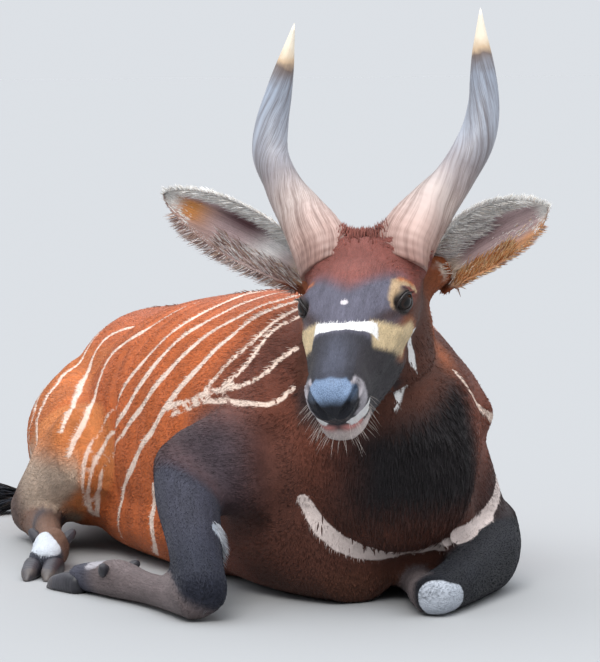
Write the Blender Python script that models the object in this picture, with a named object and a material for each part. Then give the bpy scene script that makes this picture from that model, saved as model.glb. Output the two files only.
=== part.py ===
"""A bongo antelope lying on its chest, life size, with its head turned to its right.

Metres, +Z up. The animal faces -Y and its left side is at +X. The floor it lies on is z = 0, and the
origin is the middle of the model's box on that floor.
"""

import math

import bmesh
import bpy
import numpy as np
from mathutils import Matrix

# Driving sizes. Places on the body are measured from the floor under the withers.
HEAD_YAW = math.radians(32.0)
HEAD_PITCH = math.radians(25.0)
HEAD_ROLL = math.radians(5.0)
POLL = np.array([-0.051, -0.217, 0.548])
EYE_RADIUS = 0.0200
LID_THICKNESS = 0.0030
LID_OPENING = (0.0190, 0.0125)
EAR_CUP = 0.030
EAR_BOW = 0.010
EAR_THICKNESS = 0.0075
DEWCLAW_RADII = (0.0095, 0.0090, 0.0065)
HOOF_LENGTH = 0.066
HOOF_WIDTH = 0.029
HOOF_HEIGHT = 0.034
GAP = 0.0003

# Fusing and thinning of the flesh.
FUSE_VOXEL = 0.0065
BODY_TRIANGLES = 3500
HEAD_TRIANGLES = 2100
UP = np.array([0.0, 0.0, 1.0])

# Columns of the body's stations: x, y, z, half width, height above, depth below, squareness.
TRUNK = [
    (0.018, -0.245, 0.172, 0.108, 0.118, 0.105, 2.1),
    (0.008, -0.150, 0.200, 0.175, 0.195, 0.142, 2.2),
    (0.000, -0.020, 0.215, 0.214, 0.238, 0.165, 2.3),
    (0.000, 0.130, 0.212, 0.236, 0.240, 0.216, 2.4),
    (0.000, 0.310, 0.210, 0.254, 0.225, 0.217, 2.4),
    (0.000, 0.470, 0.208, 0.250, 0.209, 0.215, 2.2),
    (0.000, 0.620, 0.205, 0.208, 0.180, 0.211, 2.0),
    (0.000, 0.760, 0.205, 0.172, 0.176, 0.195, 2.0),
    (0.000, 0.880, 0.205, 0.145, 0.155, 0.150, 2.0),
    (0.000, 0.950, 0.210, 0.095, 0.110, 0.100, 2.0),
]
BELLY = [
    (0.000, 0.060, 0.095, 0.180, 0.110, 0.105, 2.6),
    (0.000, 0.180, 0.092, 0.226, 0.120, 0.105, 2.9),
    (0.000, 0.330, 0.090, 0.238, 0.125, 0.103, 3.0),
    (0.000, 0.480, 0.090, 0.236, 0.120, 0.103, 2.9),
    (0.000, 0.600, 0.095, 0.205, 0.110, 0.103, 2.6),
]
BRISKET = [
    (-0.045, -0.185, 0.108, 0.088, 0.095, 0.112, 2.3),
    (-0.060, -0.100, 0.104, 0.118, 0.100, 0.110, 2.4),
    (-0.060, 0.010, 0.100, 0.140, 0.110, 0.106, 2.5),
    (-0.030, 0.110, 0.098, 0.170, 0.110, 0.105, 2.6),
]
CHEST_LEFT = [
    (0.075, -0.172, 0.120, 0.078, 0.080, 0.117, 2.2),
    (0.085, -0.090, 0.114, 0.100, 0.095, 0.116, 2.3),
    (0.070, 0.020, 0.106, 0.130, 0.105, 0.109, 2.4),
]
NECK = [
    (0.000, 0.060, 0.270, 0.125, 0.150, 0.150, 2.1),
    (0.000, -0.060, 0.325, 0.124, 0.140, 0.180, 2.1),
    (-0.010, -0.140, 0.395, 0.104, 0.112, 0.150, 2.1),
    (-0.032, -0.195, 0.455, 0.086, 0.094, 0.108, 2.1),
    (-0.060, -0.240, 0.485, 0.074, 0.080, 0.080, 2.1),
]
SPINE = [
    (0.000, -0.020, 0.438, 0.022, 0.014, 0.030, 2.0),
    (0.000, 0.130, 0.442, 0.022, 0.014, 0.030, 2.0),
    (0.000, 0.310, 0.425, 0.022, 0.014, 0.030, 2.0),
    (0.000, 0.470, 0.408, 0.022, 0.013, 0.030, 2.0),
    (0.000, 0.620, 0.378, 0.021, 0.012, 0.030, 2.0),
    (0.000, 0.760, 0.372, 0.020, 0.011, 0.030, 2.0),
    (0.000, 0.880, 0.348, 0.018, 0.010, 0.030, 2.0),
]
SHOULDER = [
    (0.072, 0.040, 0.340, 0.066, 0.080, 0.085, 2.1),
    (0.116, -0.045, 0.290, 0.072, 0.096, 0.100, 2.1),
    (0.146, -0.110, 0.225, 0.066, 0.090, 0.095, 2.1),
]
UPPER_ARM_RIGHT = [
    (-0.160, -0.115, 0.210, 0.068, 0.088, 0.085, 2.1),
    (-0.205, -0.050, 0.200, 0.066, 0.086, 0.080, 2.1),
    (-0.246, 0.015, 0.192, 0.052, 0.062, 0.062, 2.1),
]
UPPER_ARM_LEFT = [
    (0.136, -0.115, 0.194, 0.060, 0.074, 0.085, 2.1),
    (0.180, -0.084, 0.130, 0.058, 0.056, 0.072, 2.1),
    (0.216, -0.054, 0.094, 0.048, 0.046, 0.058, 2.1),
]
HAUNCH = [
    (0.090, 0.890, 0.195, 0.078, 0.100, 0.115, 2.1),
    (0.146, 0.760, 0.180, 0.104, 0.098, 0.145, 2.0),
    (0.190, 0.620, 0.170, 0.110, 0.096, 0.148, 2.0),
    (0.230, 0.500, 0.165, 0.092, 0.094, 0.126, 2.0),
    (0.258, 0.420, 0.162, 0.062, 0.074, 0.092, 2.0),
]
FOREARM_RIGHT = [
    (-0.246, 0.015, 0.192, 0.054, 0.062, 0.058, 2.2),
    (-0.268, -0.050, 0.160, 0.053, 0.060, 0.055, 2.2),
    (-0.295, -0.150, 0.110, 0.046, 0.049, 0.046, 2.2),
    (-0.318, -0.235, 0.066, 0.041, 0.041, 0.042, 2.3),
    (-0.326, -0.275, 0.046, 0.040, 0.038, 0.046, 2.4),
]
FOREFOOT_RIGHT = [
    (-0.330, -0.262, 0.036, 0.036, 0.034, 0.038, 2.3),
    (-0.338, -0.190, 0.033, 0.029, 0.028, 0.034, 2.2),
    (-0.350, -0.090, 0.031, 0.025, 0.025, 0.032, 2.1),
    (-0.366, -0.005, 0.033, 0.031, 0.031, 0.036, 2.2),
    (-0.379, 0.040, 0.030, 0.029, 0.026, 0.032, 2.2),
    (-0.392, 0.080, 0.026, 0.030, 0.022, 0.028, 2.3),
]
SHANK_RIGHT = [
    (-0.270, 0.410, 0.185, 0.060, 0.072, 0.082, 2.1),
    (-0.278, 0.490, 0.145, 0.055, 0.068, 0.074, 2.1),
    (-0.284, 0.580, 0.095, 0.045, 0.054, 0.060, 2.1),
    (-0.288, 0.640, 0.062, 0.037, 0.044, 0.054, 2.2),
    (-0.290, 0.680, 0.050, 0.029, 0.032, 0.044, 2.2),
]
HINDFOOT_RIGHT = [
    (-0.282, 0.625, 0.050, 0.036, 0.042, 0.050, 2.2),
    (-0.298, 0.540, 0.046, 0.030, 0.036, 0.042, 2.2),
    (-0.322, 0.450, 0.042, 0.026, 0.029, 0.038, 2.1),
    (-0.346, 0.368, 0.038, 0.026, 0.028, 0.036, 2.1),
    (-0.360, 0.322, 0.037, 0.033, 0.034, 0.040, 2.2),
    (-0.376, 0.288, 0.032, 0.031, 0.028, 0.036, 2.2),
    (-0.394, 0.256, 0.027, 0.031, 0.023, 0.030, 2.3),
]
FOREARM_LEFT = [
    (0.222, -0.054, 0.094, 0.054, 0.050, 0.066, 2.2),
    (0.198, -0.122, 0.070, 0.054, 0.046, 0.070, 2.2),
    (0.126, -0.220, 0.050, 0.044, 0.039, 0.054, 2.2),
    (0.045, -0.306, 0.038, 0.038, 0.033, 0.042, 2.3),
    (0.004, -0.344, 0.034, 0.037, 0.031, 0.038, 2.4),
]
FOREFOOT_LEFT = [
    (0.010, -0.330, 0.034, 0.034, 0.030, 0.038, 2.3),
    (0.022, -0.275, 0.030, 0.029, 0.026, 0.034, 2.2),
    (0.048, -0.190, 0.028, 0.025, 0.023, 0.032, 2.1),
    (0.072, -0.115, 0.029, 0.030, 0.026, 0.032, 2.2),
    (0.084, -0.080, 0.026, 0.029, 0.022, 0.030, 2.2),
    (0.094, -0.048, 0.024, 0.030, 0.019, 0.028, 2.3),
]
SHANK_LEFT = [
    (0.268, 0.430, 0.175, 0.060, 0.070, 0.082, 2.1),
    (0.280, 0.520, 0.135, 0.055, 0.067, 0.074, 2.1),
    (0.290, 0.610, 0.088, 0.045, 0.053, 0.060, 2.1),
    (0.296, 0.675, 0.060, 0.037, 0.043, 0.052, 2.2),
    (0.300, 0.715, 0.048, 0.029, 0.031, 0.042, 2.2),
]
HINDFOOT_LEFT = [
    (0.302, 0.665, 0.048, 0.036, 0.040, 0.048, 2.2),
    (0.312, 0.580, 0.042, 0.030, 0.034, 0.042, 2.2),
    (0.326, 0.480, 0.037, 0.026, 0.028, 0.037, 2.1),
    (0.338, 0.385, 0.035, 0.026, 0.027, 0.036, 2.1),
    (0.345, 0.335, 0.036, 0.032, 0.032, 0.038, 2.2),
    (0.352, 0.298, 0.031, 0.030, 0.027, 0.034, 2.2),
    (0.358, 0.262, 0.027, 0.031, 0.023, 0.030, 2.3),
]
TAIL = [
    (0.000, 0.930, 0.320, 0.034, 0.034, 0.034, 2.0),
    (-0.004, 0.985, 0.285, 0.027, 0.025, 0.026, 2.0),
    (-0.022, 1.022, 0.200, 0.019, 0.018, 0.018, 2.0),
    (-0.058, 1.034, 0.110, 0.016, 0.015, 0.015, 2.0),
    (-0.108, 1.026, 0.046, 0.014, 0.014, 0.014, 2.0),
    (-0.160, 1.014, 0.022, 0.013, 0.013, 0.013, 2.0),
]
TUFT_CORE = [
    (-0.166, 1.013, 0.020, 0.013, 0.013, 0.013, 2.0),
    (-0.205, 1.010, 0.021, 0.014, 0.013, 0.015, 2.0),
    (-0.245, 1.013, 0.019, 0.011, 0.010, 0.013, 2.0),
    (-0.275, 1.018, 0.016, 0.006, 0.006, 0.008, 2.0),
]

# Each foot, half the way between its two false hooves, and the height of their tips over its fetlock.
DEWCLAWS = [
    (FOREFOOT_RIGHT, 0.021, 0.018),
    (FOREFOOT_LEFT, 0.020, 0.014),
    (HINDFOOT_RIGHT, 0.022, 0.020),
    (HINDFOOT_LEFT, 0.022, 0.020),
]

# Columns of the head's stations: ahead of the poll, top and bottom over the face line, half width,
# squareness.
SKULL = [
    (-0.060, -0.045, -0.130, 0.058, 2.1),
    (-0.020, -0.010, -0.140, 0.074, 2.2),
    (0.030, 0.000, -0.145, 0.083, 2.3),
    (0.080, 0.004, -0.140, 0.088, 2.3),
    (0.125, 0.003, -0.132, 0.086, 2.2),
    (0.168, -0.001, -0.128, 0.077, 2.2),
    (0.215, -0.006, -0.124, 0.064, 2.2),
    (0.267, -0.011, -0.122, 0.054, 2.3),
    (0.314, -0.018, -0.120, 0.048, 2.4),
    (0.348, -0.024, -0.108, 0.046, 2.4),
    (0.367, -0.033, -0.100, 0.039, 2.3),
]
JAW = [
    (0.000, -0.080, -0.165, 0.052, 2.3),
    (0.050, -0.080, -0.180, 0.062, 2.5),
    (0.110, -0.085, -0.177, 0.062, 2.6),
    (0.172, -0.085, -0.170, 0.056, 2.5),
    (0.236, -0.090, -0.160, 0.044, 2.4),
    (0.294, -0.092, -0.150, 0.038, 2.3),
    (0.330, -0.094, -0.145, 0.036, 2.2),
    (0.352, -0.098, -0.140, 0.030, 2.1),
]
PEDICLE = [
    (0.050, 0.026, -0.042, 0.046),
    (0.059, 0.010, -0.020, 0.050),
    (0.068, -0.004, -0.005, 0.047),
    (0.077, -0.018, 0.004, 0.034),
]
EYE_PLACE = (0.0640, 0.132, -0.036)
EYE_GAZE = (0.85, 0.46, 0.12)
EAR_STUB = [(0.050, -0.030, -0.080, 0.036), (0.080, -0.036, -0.086, 0.033), (0.106, -0.040, -0.080, 0.028)]
EAR_ROOT = (0.082, -0.036, -0.092)
EAR_TIPS = {"left": (0.276, 0.000, 0.030), "right": (-0.304, -0.060, 0.066)}
EAR_FACING = {"left": (0.05, 0.90, 0.35), "right": (-0.10, 0.95, 0.10)}

# Half width of an ear, from its root at 0 to its tip at 1.
EAR_LEAF = [
    (0.0, 0.034),
    (0.22, 0.040),
    (0.44, 0.048),
    (0.64, 0.046),
    (0.82, 0.036),
    (0.94, 0.020),
    (1.0, 0.006),
]
NOSTRIL = [
    (0.012, 0.385, -0.079, 0.0035),
    (0.021, 0.382, -0.067, 0.0060),
    (0.030, 0.373, -0.055, 0.0058),
    (0.038, 0.356, -0.047, 0.0035),
]
MOUTH = [(0.048, 0.262, -0.110), (0.046, 0.308, -0.108), (0.040, 0.348, -0.105), (0.020, 0.376, -0.104)]
MOUTH_GROOVE = 0.0024

# Columns of a horn's stations: side, ahead, up, radius.
HORN = [
    (0.052, 0.022, -0.032, 0.045),
    (0.068, -0.006, -0.004, 0.045),
    (0.098, -0.046, 0.022, 0.0375),
    (0.132, -0.090, 0.050, 0.0295),
    (0.157, -0.132, 0.083, 0.0265),
    (0.161, -0.166, 0.122, 0.0240),
    (0.156, -0.190, 0.160, 0.0205),
    (0.150, -0.206, 0.195, 0.0145),
    (0.146, -0.216, 0.222, 0.0085),
    (0.143, -0.223, 0.244, 0.0040),
]
HORN_LEAN = 0.36
HORN_TWIST = math.radians(230.0)
HORN_KEEL = 0.20

# The crest of long hair on the back, and the locks of the tail's tuft.
CREST_REACH = (0.115, 0.850)
CREST_LOCKS = 30
CREST_LENGTH = 0.048
CREST_WIDTH = 0.016
CREST_RISE = math.radians(6.0)
TUFT_LOCKS = 24
TUFT_LENGTH = 0.085
TUFT_WIDTH = 0.016
LOCK_THICKNESS = 0.0045
LOCK_ROOT = 0.012

# Material colours, as red, green and blue, and roughness.
FINISHES = {
    "coat": ((0.42, 0.13, 0.045), 0.75),
    "dark_coat": ((0.05, 0.04, 0.045), 0.75),
    "horn": ((0.45, 0.39, 0.36), 0.45),
    "hoof": ((0.16, 0.14, 0.13), 0.50),
    "eye": ((0.02, 0.012, 0.008), 0.05),
}


def unit(vectors):
    """Vectors scaled to length one."""
    vectors = np.asarray(vectors, float)
    return vectors / np.linalg.norm(vectors, axis=-1, keepdims=True)


def head_axes():
    """The head's own directions: its left side, ahead along the face, and up from the face."""
    level = np.array([-math.sin(HEAD_YAW), -math.cos(HEAD_YAW), 0.0])
    side = np.array([math.cos(HEAD_YAW), -math.sin(HEAD_YAW), 0.0])
    ahead = level * math.cos(HEAD_PITCH) - UP * math.sin(HEAD_PITCH)
    over = level * math.sin(HEAD_PITCH) + UP * math.cos(HEAD_PITCH)
    return np.stack(
        [
            side * math.cos(HEAD_ROLL) + over * math.sin(HEAD_ROLL),
            ahead,
            over * math.cos(HEAD_ROLL) - side * math.sin(HEAD_ROLL),
        ]
    )


HEAD_AXES = head_axes()


def from_head(places):
    """Places given as side, ahead and up in the head's frame, in the body's frame."""
    return POLL + np.asarray(places, float) @ HEAD_AXES


def curve_through(rows, count):
    """Smooth curve through the rows, read at even steps along the length of their first three columns."""
    rows = np.asarray(rows, float)
    knots = np.concatenate([[0.0], np.cumsum(np.linalg.norm(np.diff(rows[:, :3], axis=0), axis=1))])
    slope = np.gradient(rows, knots, axis=0)
    at = np.linspace(0.0, knots[-1], count)
    left = np.clip(np.searchsorted(knots, at, side="right") - 1, 0, len(knots) - 2)
    span = (knots[left + 1] - knots[left])[:, None]
    u = (at - knots[left])[:, None] / span
    return (
        (2 * u**3 - 3 * u**2 + 1) * rows[left]
        + (u**3 - 2 * u**2 + u) * span * slope[left]
        + (3 * u**2 - 2 * u**3) * rows[left + 1]
        + (u**3 - u**2) * span * slope[left + 1]
    )


def tube(rings, poles):
    """Points and faces of a closed tube: rings of points in order, with a pole beyond each end."""
    count, sides = rings.shape[:2]
    points = np.concatenate([rings.reshape(-1, 3), np.asarray(poles)])
    ring, spoke = np.meshgrid(np.arange(count - 1), np.arange(sides), indexing="ij")
    beyond = (spoke + 1) % sides
    quads = [ring * sides + spoke, ring * sides + beyond]
    quads += [(ring + 1) * sides + beyond, (ring + 1) * sides + spoke]
    faces = np.stack(quads, axis=-1).reshape(-1, 4).tolist()
    spoke = np.arange(sides)
    beyond = (spoke + 1) % sides
    last = (count - 1) * sides
    faces += np.stack([np.full(sides, count * sides), beyond, spoke], axis=-1).tolist()
    faces += np.stack([np.full(sides, count * sides + 1), last + spoke, last + beyond], axis=-1).tolist()
    return points, faces


def loft(rows, rings, sides, up=UP, cap=0.03):
    """Closed round-ended tube through stations of place, half width, height, depth and squareness."""
    line = curve_through(rows, rings)
    centre, sizes, square = line[:, :3], line[:, 3:6], line[:, 6]
    ahead = unit(np.gradient(centre, axis=0))
    turn = np.radians([68.0, 38.0])[:, None]
    start = centre[0] - ahead[0] * cap * np.sin(turn)
    end = (centre[-1] + ahead[-1] * cap * np.sin(turn))[::-1]
    centre = np.concatenate([start, centre, end])
    sizes = np.concatenate([sizes[0] * np.cos(turn), sizes, sizes[-1] * np.cos(turn[::-1])])
    square = np.concatenate([[square[0]] * 2, square, [square[-1]] * 2])[:, None]
    poles = [line[0, :3] - ahead[0] * cap, line[-1, :3] + ahead[-1] * cap]
    ahead = np.concatenate([[ahead[0]] * 2, ahead, [ahead[-1]] * 2])
    side = unit(np.cross(ahead, up))
    top = np.cross(side, ahead)
    angle = np.linspace(0.0, 2.0 * math.pi, sides, endpoint=False)[None]
    across = np.sign(np.cos(angle)) * np.abs(np.cos(angle)) ** (2.0 / square) * sizes[:, :1]
    rise = np.sign(np.sin(angle)) * np.abs(np.sin(angle)) ** (2.0 / square)
    rise = rise * np.where(np.sin(angle) > 0.0, sizes[:, 1:2], sizes[:, 2:3])
    skin = centre[:, None] + across[..., None] * side[:, None] + rise[..., None] * top[:, None]
    return tube(skin[:, ::-1], poles)


def round_loft(rows, rings, sides, up, cap):
    """Loft of round section through rows of place and radius."""
    rows = np.asarray(rows, float)
    stations = np.column_stack([rows[:, :3], rows[:, 3], rows[:, 3], rows[:, 3], np.full(len(rows), 2.0)])
    return loft(stations, rings, sides, up, cap)


def mirrored(rows):
    """Rows moved to the animal's other side."""
    rows = np.array(rows, float)
    rows[:, 0] = -rows[:, 0]
    return rows


def head_loft(rows, cap):
    """Loft along the head, from stations that give its top and bottom."""
    rows = np.asarray(rows, float)
    middle = (rows[:, 1] + rows[:, 2]) / 2.0
    half = (rows[:, 1] - rows[:, 2]) / 2.0
    centre = from_head(np.stack([np.zeros(len(rows)), rows[:, 0], middle], axis=1))
    stations = np.column_stack([centre, rows[:, 3], half, half, rows[:, 4]])
    return loft(stations, 24, 24, HEAD_AXES[2], cap)


def in_head_frame(rows, sign):
    """Rows of place and radius in the head's frame, for its left side or its right, in the body's frame."""
    rows = np.array(rows, float)
    rows[:, 0] *= sign
    rows[:, :3] = from_head(rows[:, :3])
    return rows


def ball(centre, radius, rings, sides):
    """Points and faces of a round ball."""
    angle = np.linspace(0.0, math.pi, rings + 2)[1:-1, None]
    turn = np.linspace(0.0, 2.0 * math.pi, sides, endpoint=False)[None]
    across, along, over = np.sin(angle) * np.cos(turn), np.sin(angle) * np.sin(turn), np.cos(angle) + 0.0 * turn
    skin = np.stack([across, along, over], axis=-1)
    points, faces = tube(skin, [[0.0, 0.0, 1.0], [0.0, 0.0, -1.0]])
    return np.asarray(centre) + radius * points, faces


def new_object(name, points, faces):
    """Mesh object made of points and faces, with its faces turned outwards."""
    mesh = bpy.data.meshes.new(name)
    mesh.from_pydata(np.asarray(points).tolist(), [], faces)
    bm = bmesh.new()
    bm.from_mesh(mesh)
    bmesh.ops.recalc_face_normals(bm, faces=bm.faces)
    bm.to_mesh(mesh)
    bm.free()
    obj = bpy.data.objects.new(name, mesh)
    bpy.context.scene.collection.objects.link(obj)
    return obj


def joined(name, lofts):
    """One object that holds several closed tubes."""
    points, faces, start = [], [], 0
    for part_points, part_faces in lofts:
        points.append(part_points)
        faces += [[index + start for index in face] for face in part_faces]
        start += len(part_points)
    return new_object(name, np.concatenate(points), faces)


def copy_of(obj, name):
    """Copy of an object with its own mesh."""
    twin = bpy.data.objects.new(name, obj.data.copy())
    bpy.context.scene.collection.objects.link(twin)
    return twin


def apply_modifiers(obj):
    """Turns the object's modifiers into its mesh."""
    bpy.context.view_layer.update()
    graph = bpy.context.evaluated_depsgraph_get()
    mesh = bpy.data.meshes.new_from_object(obj.evaluated_get(graph))
    old = obj.data
    obj.modifiers.clear()
    obj.data = mesh
    bpy.data.meshes.remove(old)


def combine(obj, other, operation):
    """Cuts obj with other, or joins or intersects the two."""
    modifier = obj.modifiers.new("combine", "BOOLEAN")
    modifier.operation = operation
    modifier.solver = "EXACT"
    modifier.object = other
    apply_modifiers(obj)


def keep_largest(obj):
    """Keeps the object's largest closed surface."""
    bm = bmesh.new()
    bm.from_mesh(obj.data)
    left = set(bm.verts)
    islands = []
    while left:
        seed = left.pop()
        island, open_ends = {seed}, [seed]
        while open_ends:
            vert = open_ends.pop()
            for edge in vert.link_edges:
                other = edge.other_vert(vert)
                if other in left:
                    left.remove(other)
                    island.add(other)
                    open_ends.append(other)
        islands.append(island)
    islands.sort(key=len)
    for island in islands[:-1]:
        bmesh.ops.delete(bm, geom=list(island), context="VERTS")
    bm.to_mesh(obj.data)
    bm.free()


def clean(obj):
    """Merges the slivers that cuts leave, and splits faces into triangles."""
    bm = bmesh.new()
    bm.from_mesh(obj.data)
    bmesh.ops.remove_doubles(bm, verts=bm.verts, dist=0.00001)
    bmesh.ops.dissolve_degenerate(bm, dist=0.00001, edges=bm.edges)
    bmesh.ops.triangulate(bm, faces=bm.faces)
    bm.to_mesh(obj.data)
    bm.free()
    keep_largest(obj)


def grown(obj, amount):
    """Copy of an object whose faces stand out by the amount."""
    twin = copy_of(obj, obj.name + "_grown")
    bm = bmesh.new()
    bm.from_mesh(twin.data)
    bm.normal_update()
    moves = [vert.normal * (amount * min(vert.calc_shell_factor(), 2.0)) for vert in bm.verts]
    for vert, move in zip(bm.verts, moves):
        vert.co += move
    bm.to_mesh(twin.data)
    bm.free()
    return twin


def prism(name, outline, low, high, axes=np.eye(3), origin=(0.0, 0.0, 0.0)):
    """Straight block: an outline in the first two axes, from low to high along the third."""
    outline = np.asarray(outline, float)
    count = len(outline)
    flat = np.concatenate([np.column_stack([outline, np.full(count, z)]) for z in (low, high)])
    faces = [list(range(count))[::-1], list(range(count, 2 * count))]
    faces += [[i, (i + 1) % count, (i + 1) % count + count, i + count] for i in range(count)]
    return new_object(name, np.asarray(origin) + flat @ np.asarray(axes), faces)


def box_along(rows, side, over, reach):
    """Block along the straight line from the first station to the last, with its reach to each way."""
    rows = np.asarray(rows, float)
    ahead = unit(rows[-1, :3] - rows[0, :3])
    across = unit(np.cross(ahead, UP))
    axes = np.stack([across, np.cross(across, ahead), ahead])
    length = np.linalg.norm(rows[-1, :3] - rows[0, :3])
    outline = [(side[0], over[0]), (side[1], over[0]), (side[1], over[1]), (side[0], over[1])]
    return prism("cell", outline, reach[0], length + reach[1], axes, rows[0, :3])


def part_off(obj, block, name):
    """Takes what lies in the block out of obj, as a new object, with a thin gap between the two."""
    piece = copy_of(obj, name)
    combine(piece, block, "INTERSECT")
    wide = grown(block, GAP)
    combine(obj, wide, "DIFFERENCE")
    bpy.data.objects.remove(wide)
    bpy.data.objects.remove(block)
    clean(piece)
    clean(obj)
    return piece


def cut_away(obj, block):
    """Cuts the block out of obj and removes the block."""
    combine(obj, block, "DIFFERENCE")
    bpy.data.objects.remove(block)
    clean(obj)


def fit_against(obj, other):
    """Cuts from obj what would touch other, with a thin gap."""
    cut_away(obj, grown(other, GAP))


def thin(body):
    """Thins the fused mesh, less on the head than elsewhere."""
    points = np.empty(len(body.data.vertices) * 3)
    body.data.vertices.foreach_get("co", points)
    local = (points.reshape(-1, 3) - POLL) @ HEAD_AXES.T
    on_head = (local[:, 1] > -0.07) & (local[:, 2] > -0.20) & (np.abs(local[:, 0]) < 0.13)
    indices = np.arange(len(on_head))
    body.vertex_groups.new(name="trunk").add(indices[~on_head].tolist(), 1.0, "REPLACE")
    body.vertex_groups.new(name="head").add(indices[on_head].tolist(), 1.0, "REPLACE")
    total = 2 * len(body.data.polygons)
    head_faces = total * on_head.mean()
    before = total
    for group, left in (("trunk", head_faces + BODY_TRIANGLES), ("head", HEAD_TRIANGLES + BODY_TRIANGLES)):
        reduce = body.modifiers.new("thin " + group, "DECIMATE")
        reduce.ratio = left / before
        reduce.vertex_group = group
        before = left
    apply_modifiers(body)
    body.vertex_groups.clear()


def eye_centre(sign):
    """Middle of an eyeball."""
    return from_head(np.array(EYE_PLACE) * (sign, 1.0, 1.0))


def dewclaws(rows, spread, height):
    """The two small false hooves behind a foot's fetlock."""
    fetlock = np.array(rows[-3][:3])
    ahead = unit(np.array(rows[-1][:3]) - fetlock)
    side = unit(np.cross(ahead, UP))
    made = []
    for sign in (1.0, -1.0):
        root = fetlock + side * sign * spread + UP * height * 0.5
        tip = fetlock + side * sign * spread * 1.5 + UP * height - ahead * 0.010
        stations = np.column_stack([np.stack([root, (root + tip) / 2.0, tip]), DEWCLAW_RADII])
        made.append(round_loft(stations, 5, 10, ahead, 0.005))
    return made


def flesh():
    """The animal without horns, ears, eyes, hooves and tail, as one thinned closed mesh."""
    limbs = [UPPER_ARM_RIGHT, UPPER_ARM_LEFT, FOREARM_RIGHT, FOREARM_LEFT, SHANK_RIGHT, SHANK_LEFT]
    limbs += [FOREFOOT_RIGHT, FOREFOOT_LEFT, HINDFOOT_RIGHT, HINDFOOT_LEFT]
    limbs += [SHOULDER, mirrored(SHOULDER), HAUNCH, mirrored(HAUNCH), BELLY, BRISKET, CHEST_LEFT]
    lofts = [loft(TRUNK, 40, 40, cap=0.045), loft(NECK, 24, 28, cap=0.05), loft(SPINE, 30, 10, cap=0.03)]
    lofts += [loft(rows, 22, 20, cap=0.022) for rows in limbs]
    lofts += [head_loft(SKULL, 0.016), head_loft(JAW, 0.012)]
    for rows, side_ways, height in DEWCLAWS:
        lofts += dewclaws(rows, side_ways, height)
    for sign in (1.0, -1.0):
        lofts.append(round_loft(in_head_frame(EAR_STUB, sign), 8, 16, HEAD_AXES[1], 0.012))
        lofts.append(round_loft(in_head_frame(PEDICLE, sign), 8, 16, HEAD_AXES[1], 0.012))
        lofts.append(ball(eye_centre(sign), EYE_RADIUS + LID_THICKNESS, 14, 20))
    body = joined("torso", lofts)
    fuse = body.modifiers.new("fuse", "REMESH")
    fuse.mode = "VOXEL"
    fuse.voxel_size = FUSE_VOXEL
    soften = body.modifiers.new("soften", "SMOOTH")
    soften.factor = 0.5
    soften.iterations = 6
    apply_modifiers(body)
    thin(body)
    keep_largest(body)
    cut_away(body, prism("floor", [(-1.0, -1.0), (1.0, -1.0), (1.0, 2.0), (-1.0, 2.0)], -0.5, 0.0))
    return body


def horn(sign, name):
    """Horn: a tapering tube along a lyre-shaped line, with a keel that turns round it."""
    rows = np.array(HORN)
    lean = HORN_LEAN * (rows[:, 1] ** 2 + rows[:, 2] ** 2) * (rows[:, 2] > 0.0)
    rows[:, 0] = rows[:, 0] * sign + lean
    line = curve_through(rows, 19)
    centre = from_head(line[:, :3])
    ahead = unit(np.gradient(centre, axis=0))
    side = unit(np.cross(ahead, HEAD_AXES[1]))
    over = np.cross(side, ahead)
    share = np.linspace(0.0, 1.0, len(line))[:, None]
    angle = np.linspace(0.0, 2.0 * math.pi, 11, endpoint=False)[None]
    keel = sign * (math.radians(60.0) + HORN_TWIST * share)
    away = np.abs((angle - keel + math.pi) % (2.0 * math.pi) - math.pi)
    radius = line[:, 3:4] * (1.0 + HORN_KEEL * np.exp(-((away / 0.5) ** 2)) * (1.0 - 0.6 * share))
    reach = np.cos(angle)[..., None] * side[:, None] + np.sin(angle)[..., None] * over[:, None]
    rings = centre[:, None] + radius[..., None] * reach
    poles = [centre[0] - ahead[0] * 0.002, centre[-1] + ahead[-1] * 0.012]
    return new_object(name, *tube(rings, poles))


def ear(side_name, sign):
    """Ear: a cupped leaf with a rim, its open side ahead."""
    root = np.array(EAR_ROOT) * (sign, 1.0, 1.0)
    tip = np.array(EAR_TIPS[side_name])
    axis = unit(tip - root)
    facing = np.array(EAR_FACING[side_name])
    facing = unit(facing - axis * (facing @ axis))
    across = np.cross(axis, facing)
    t = np.linspace(0.0, 1.0, 11)[:, None]
    v = np.linspace(-1.0, 1.0, 7)[None]
    leaf = np.interp(t, *np.transpose(EAR_LEAF))
    cup = (EAR_CUP * (1.0 - 0.75 * t) + 0.003) * (1.0 - v**2)
    middle = root + axis * (np.linalg.norm(tip - root) * t)[..., None]
    middle = middle + across * (sign * EAR_BOW * np.sin(math.pi * t))[..., None]
    back = middle + across * (leaf * v)[..., None] - facing * cup[..., None]
    wall = EAR_THICKNESS * (1.0 - 0.5 * t) * (1.0 - 0.55 * v**2)
    rings = np.concatenate([back, (back + facing * wall[..., None])[:, ::-1]], axis=1)
    count, sides = rings.shape[:2]
    ring, spoke = np.meshgrid(np.arange(count - 1), np.arange(sides), indexing="ij")
    beyond = (spoke + 1) % sides
    quads = [ring * sides + spoke, ring * sides + beyond]
    quads += [(ring + 1) * sides + beyond, (ring + 1) * sides + spoke]
    faces = np.stack(quads, axis=-1).reshape(-1, 4).tolist()
    for start in (0, (count - 1) * sides):
        for i in range(sides // 2 - 1):
            faces.append([start + i, start + i + 1, start + sides - 2 - i, start + sides - 1 - i])
    return new_object("ear_" + side_name, from_head(rings.reshape(-1, 3)), faces)


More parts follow.
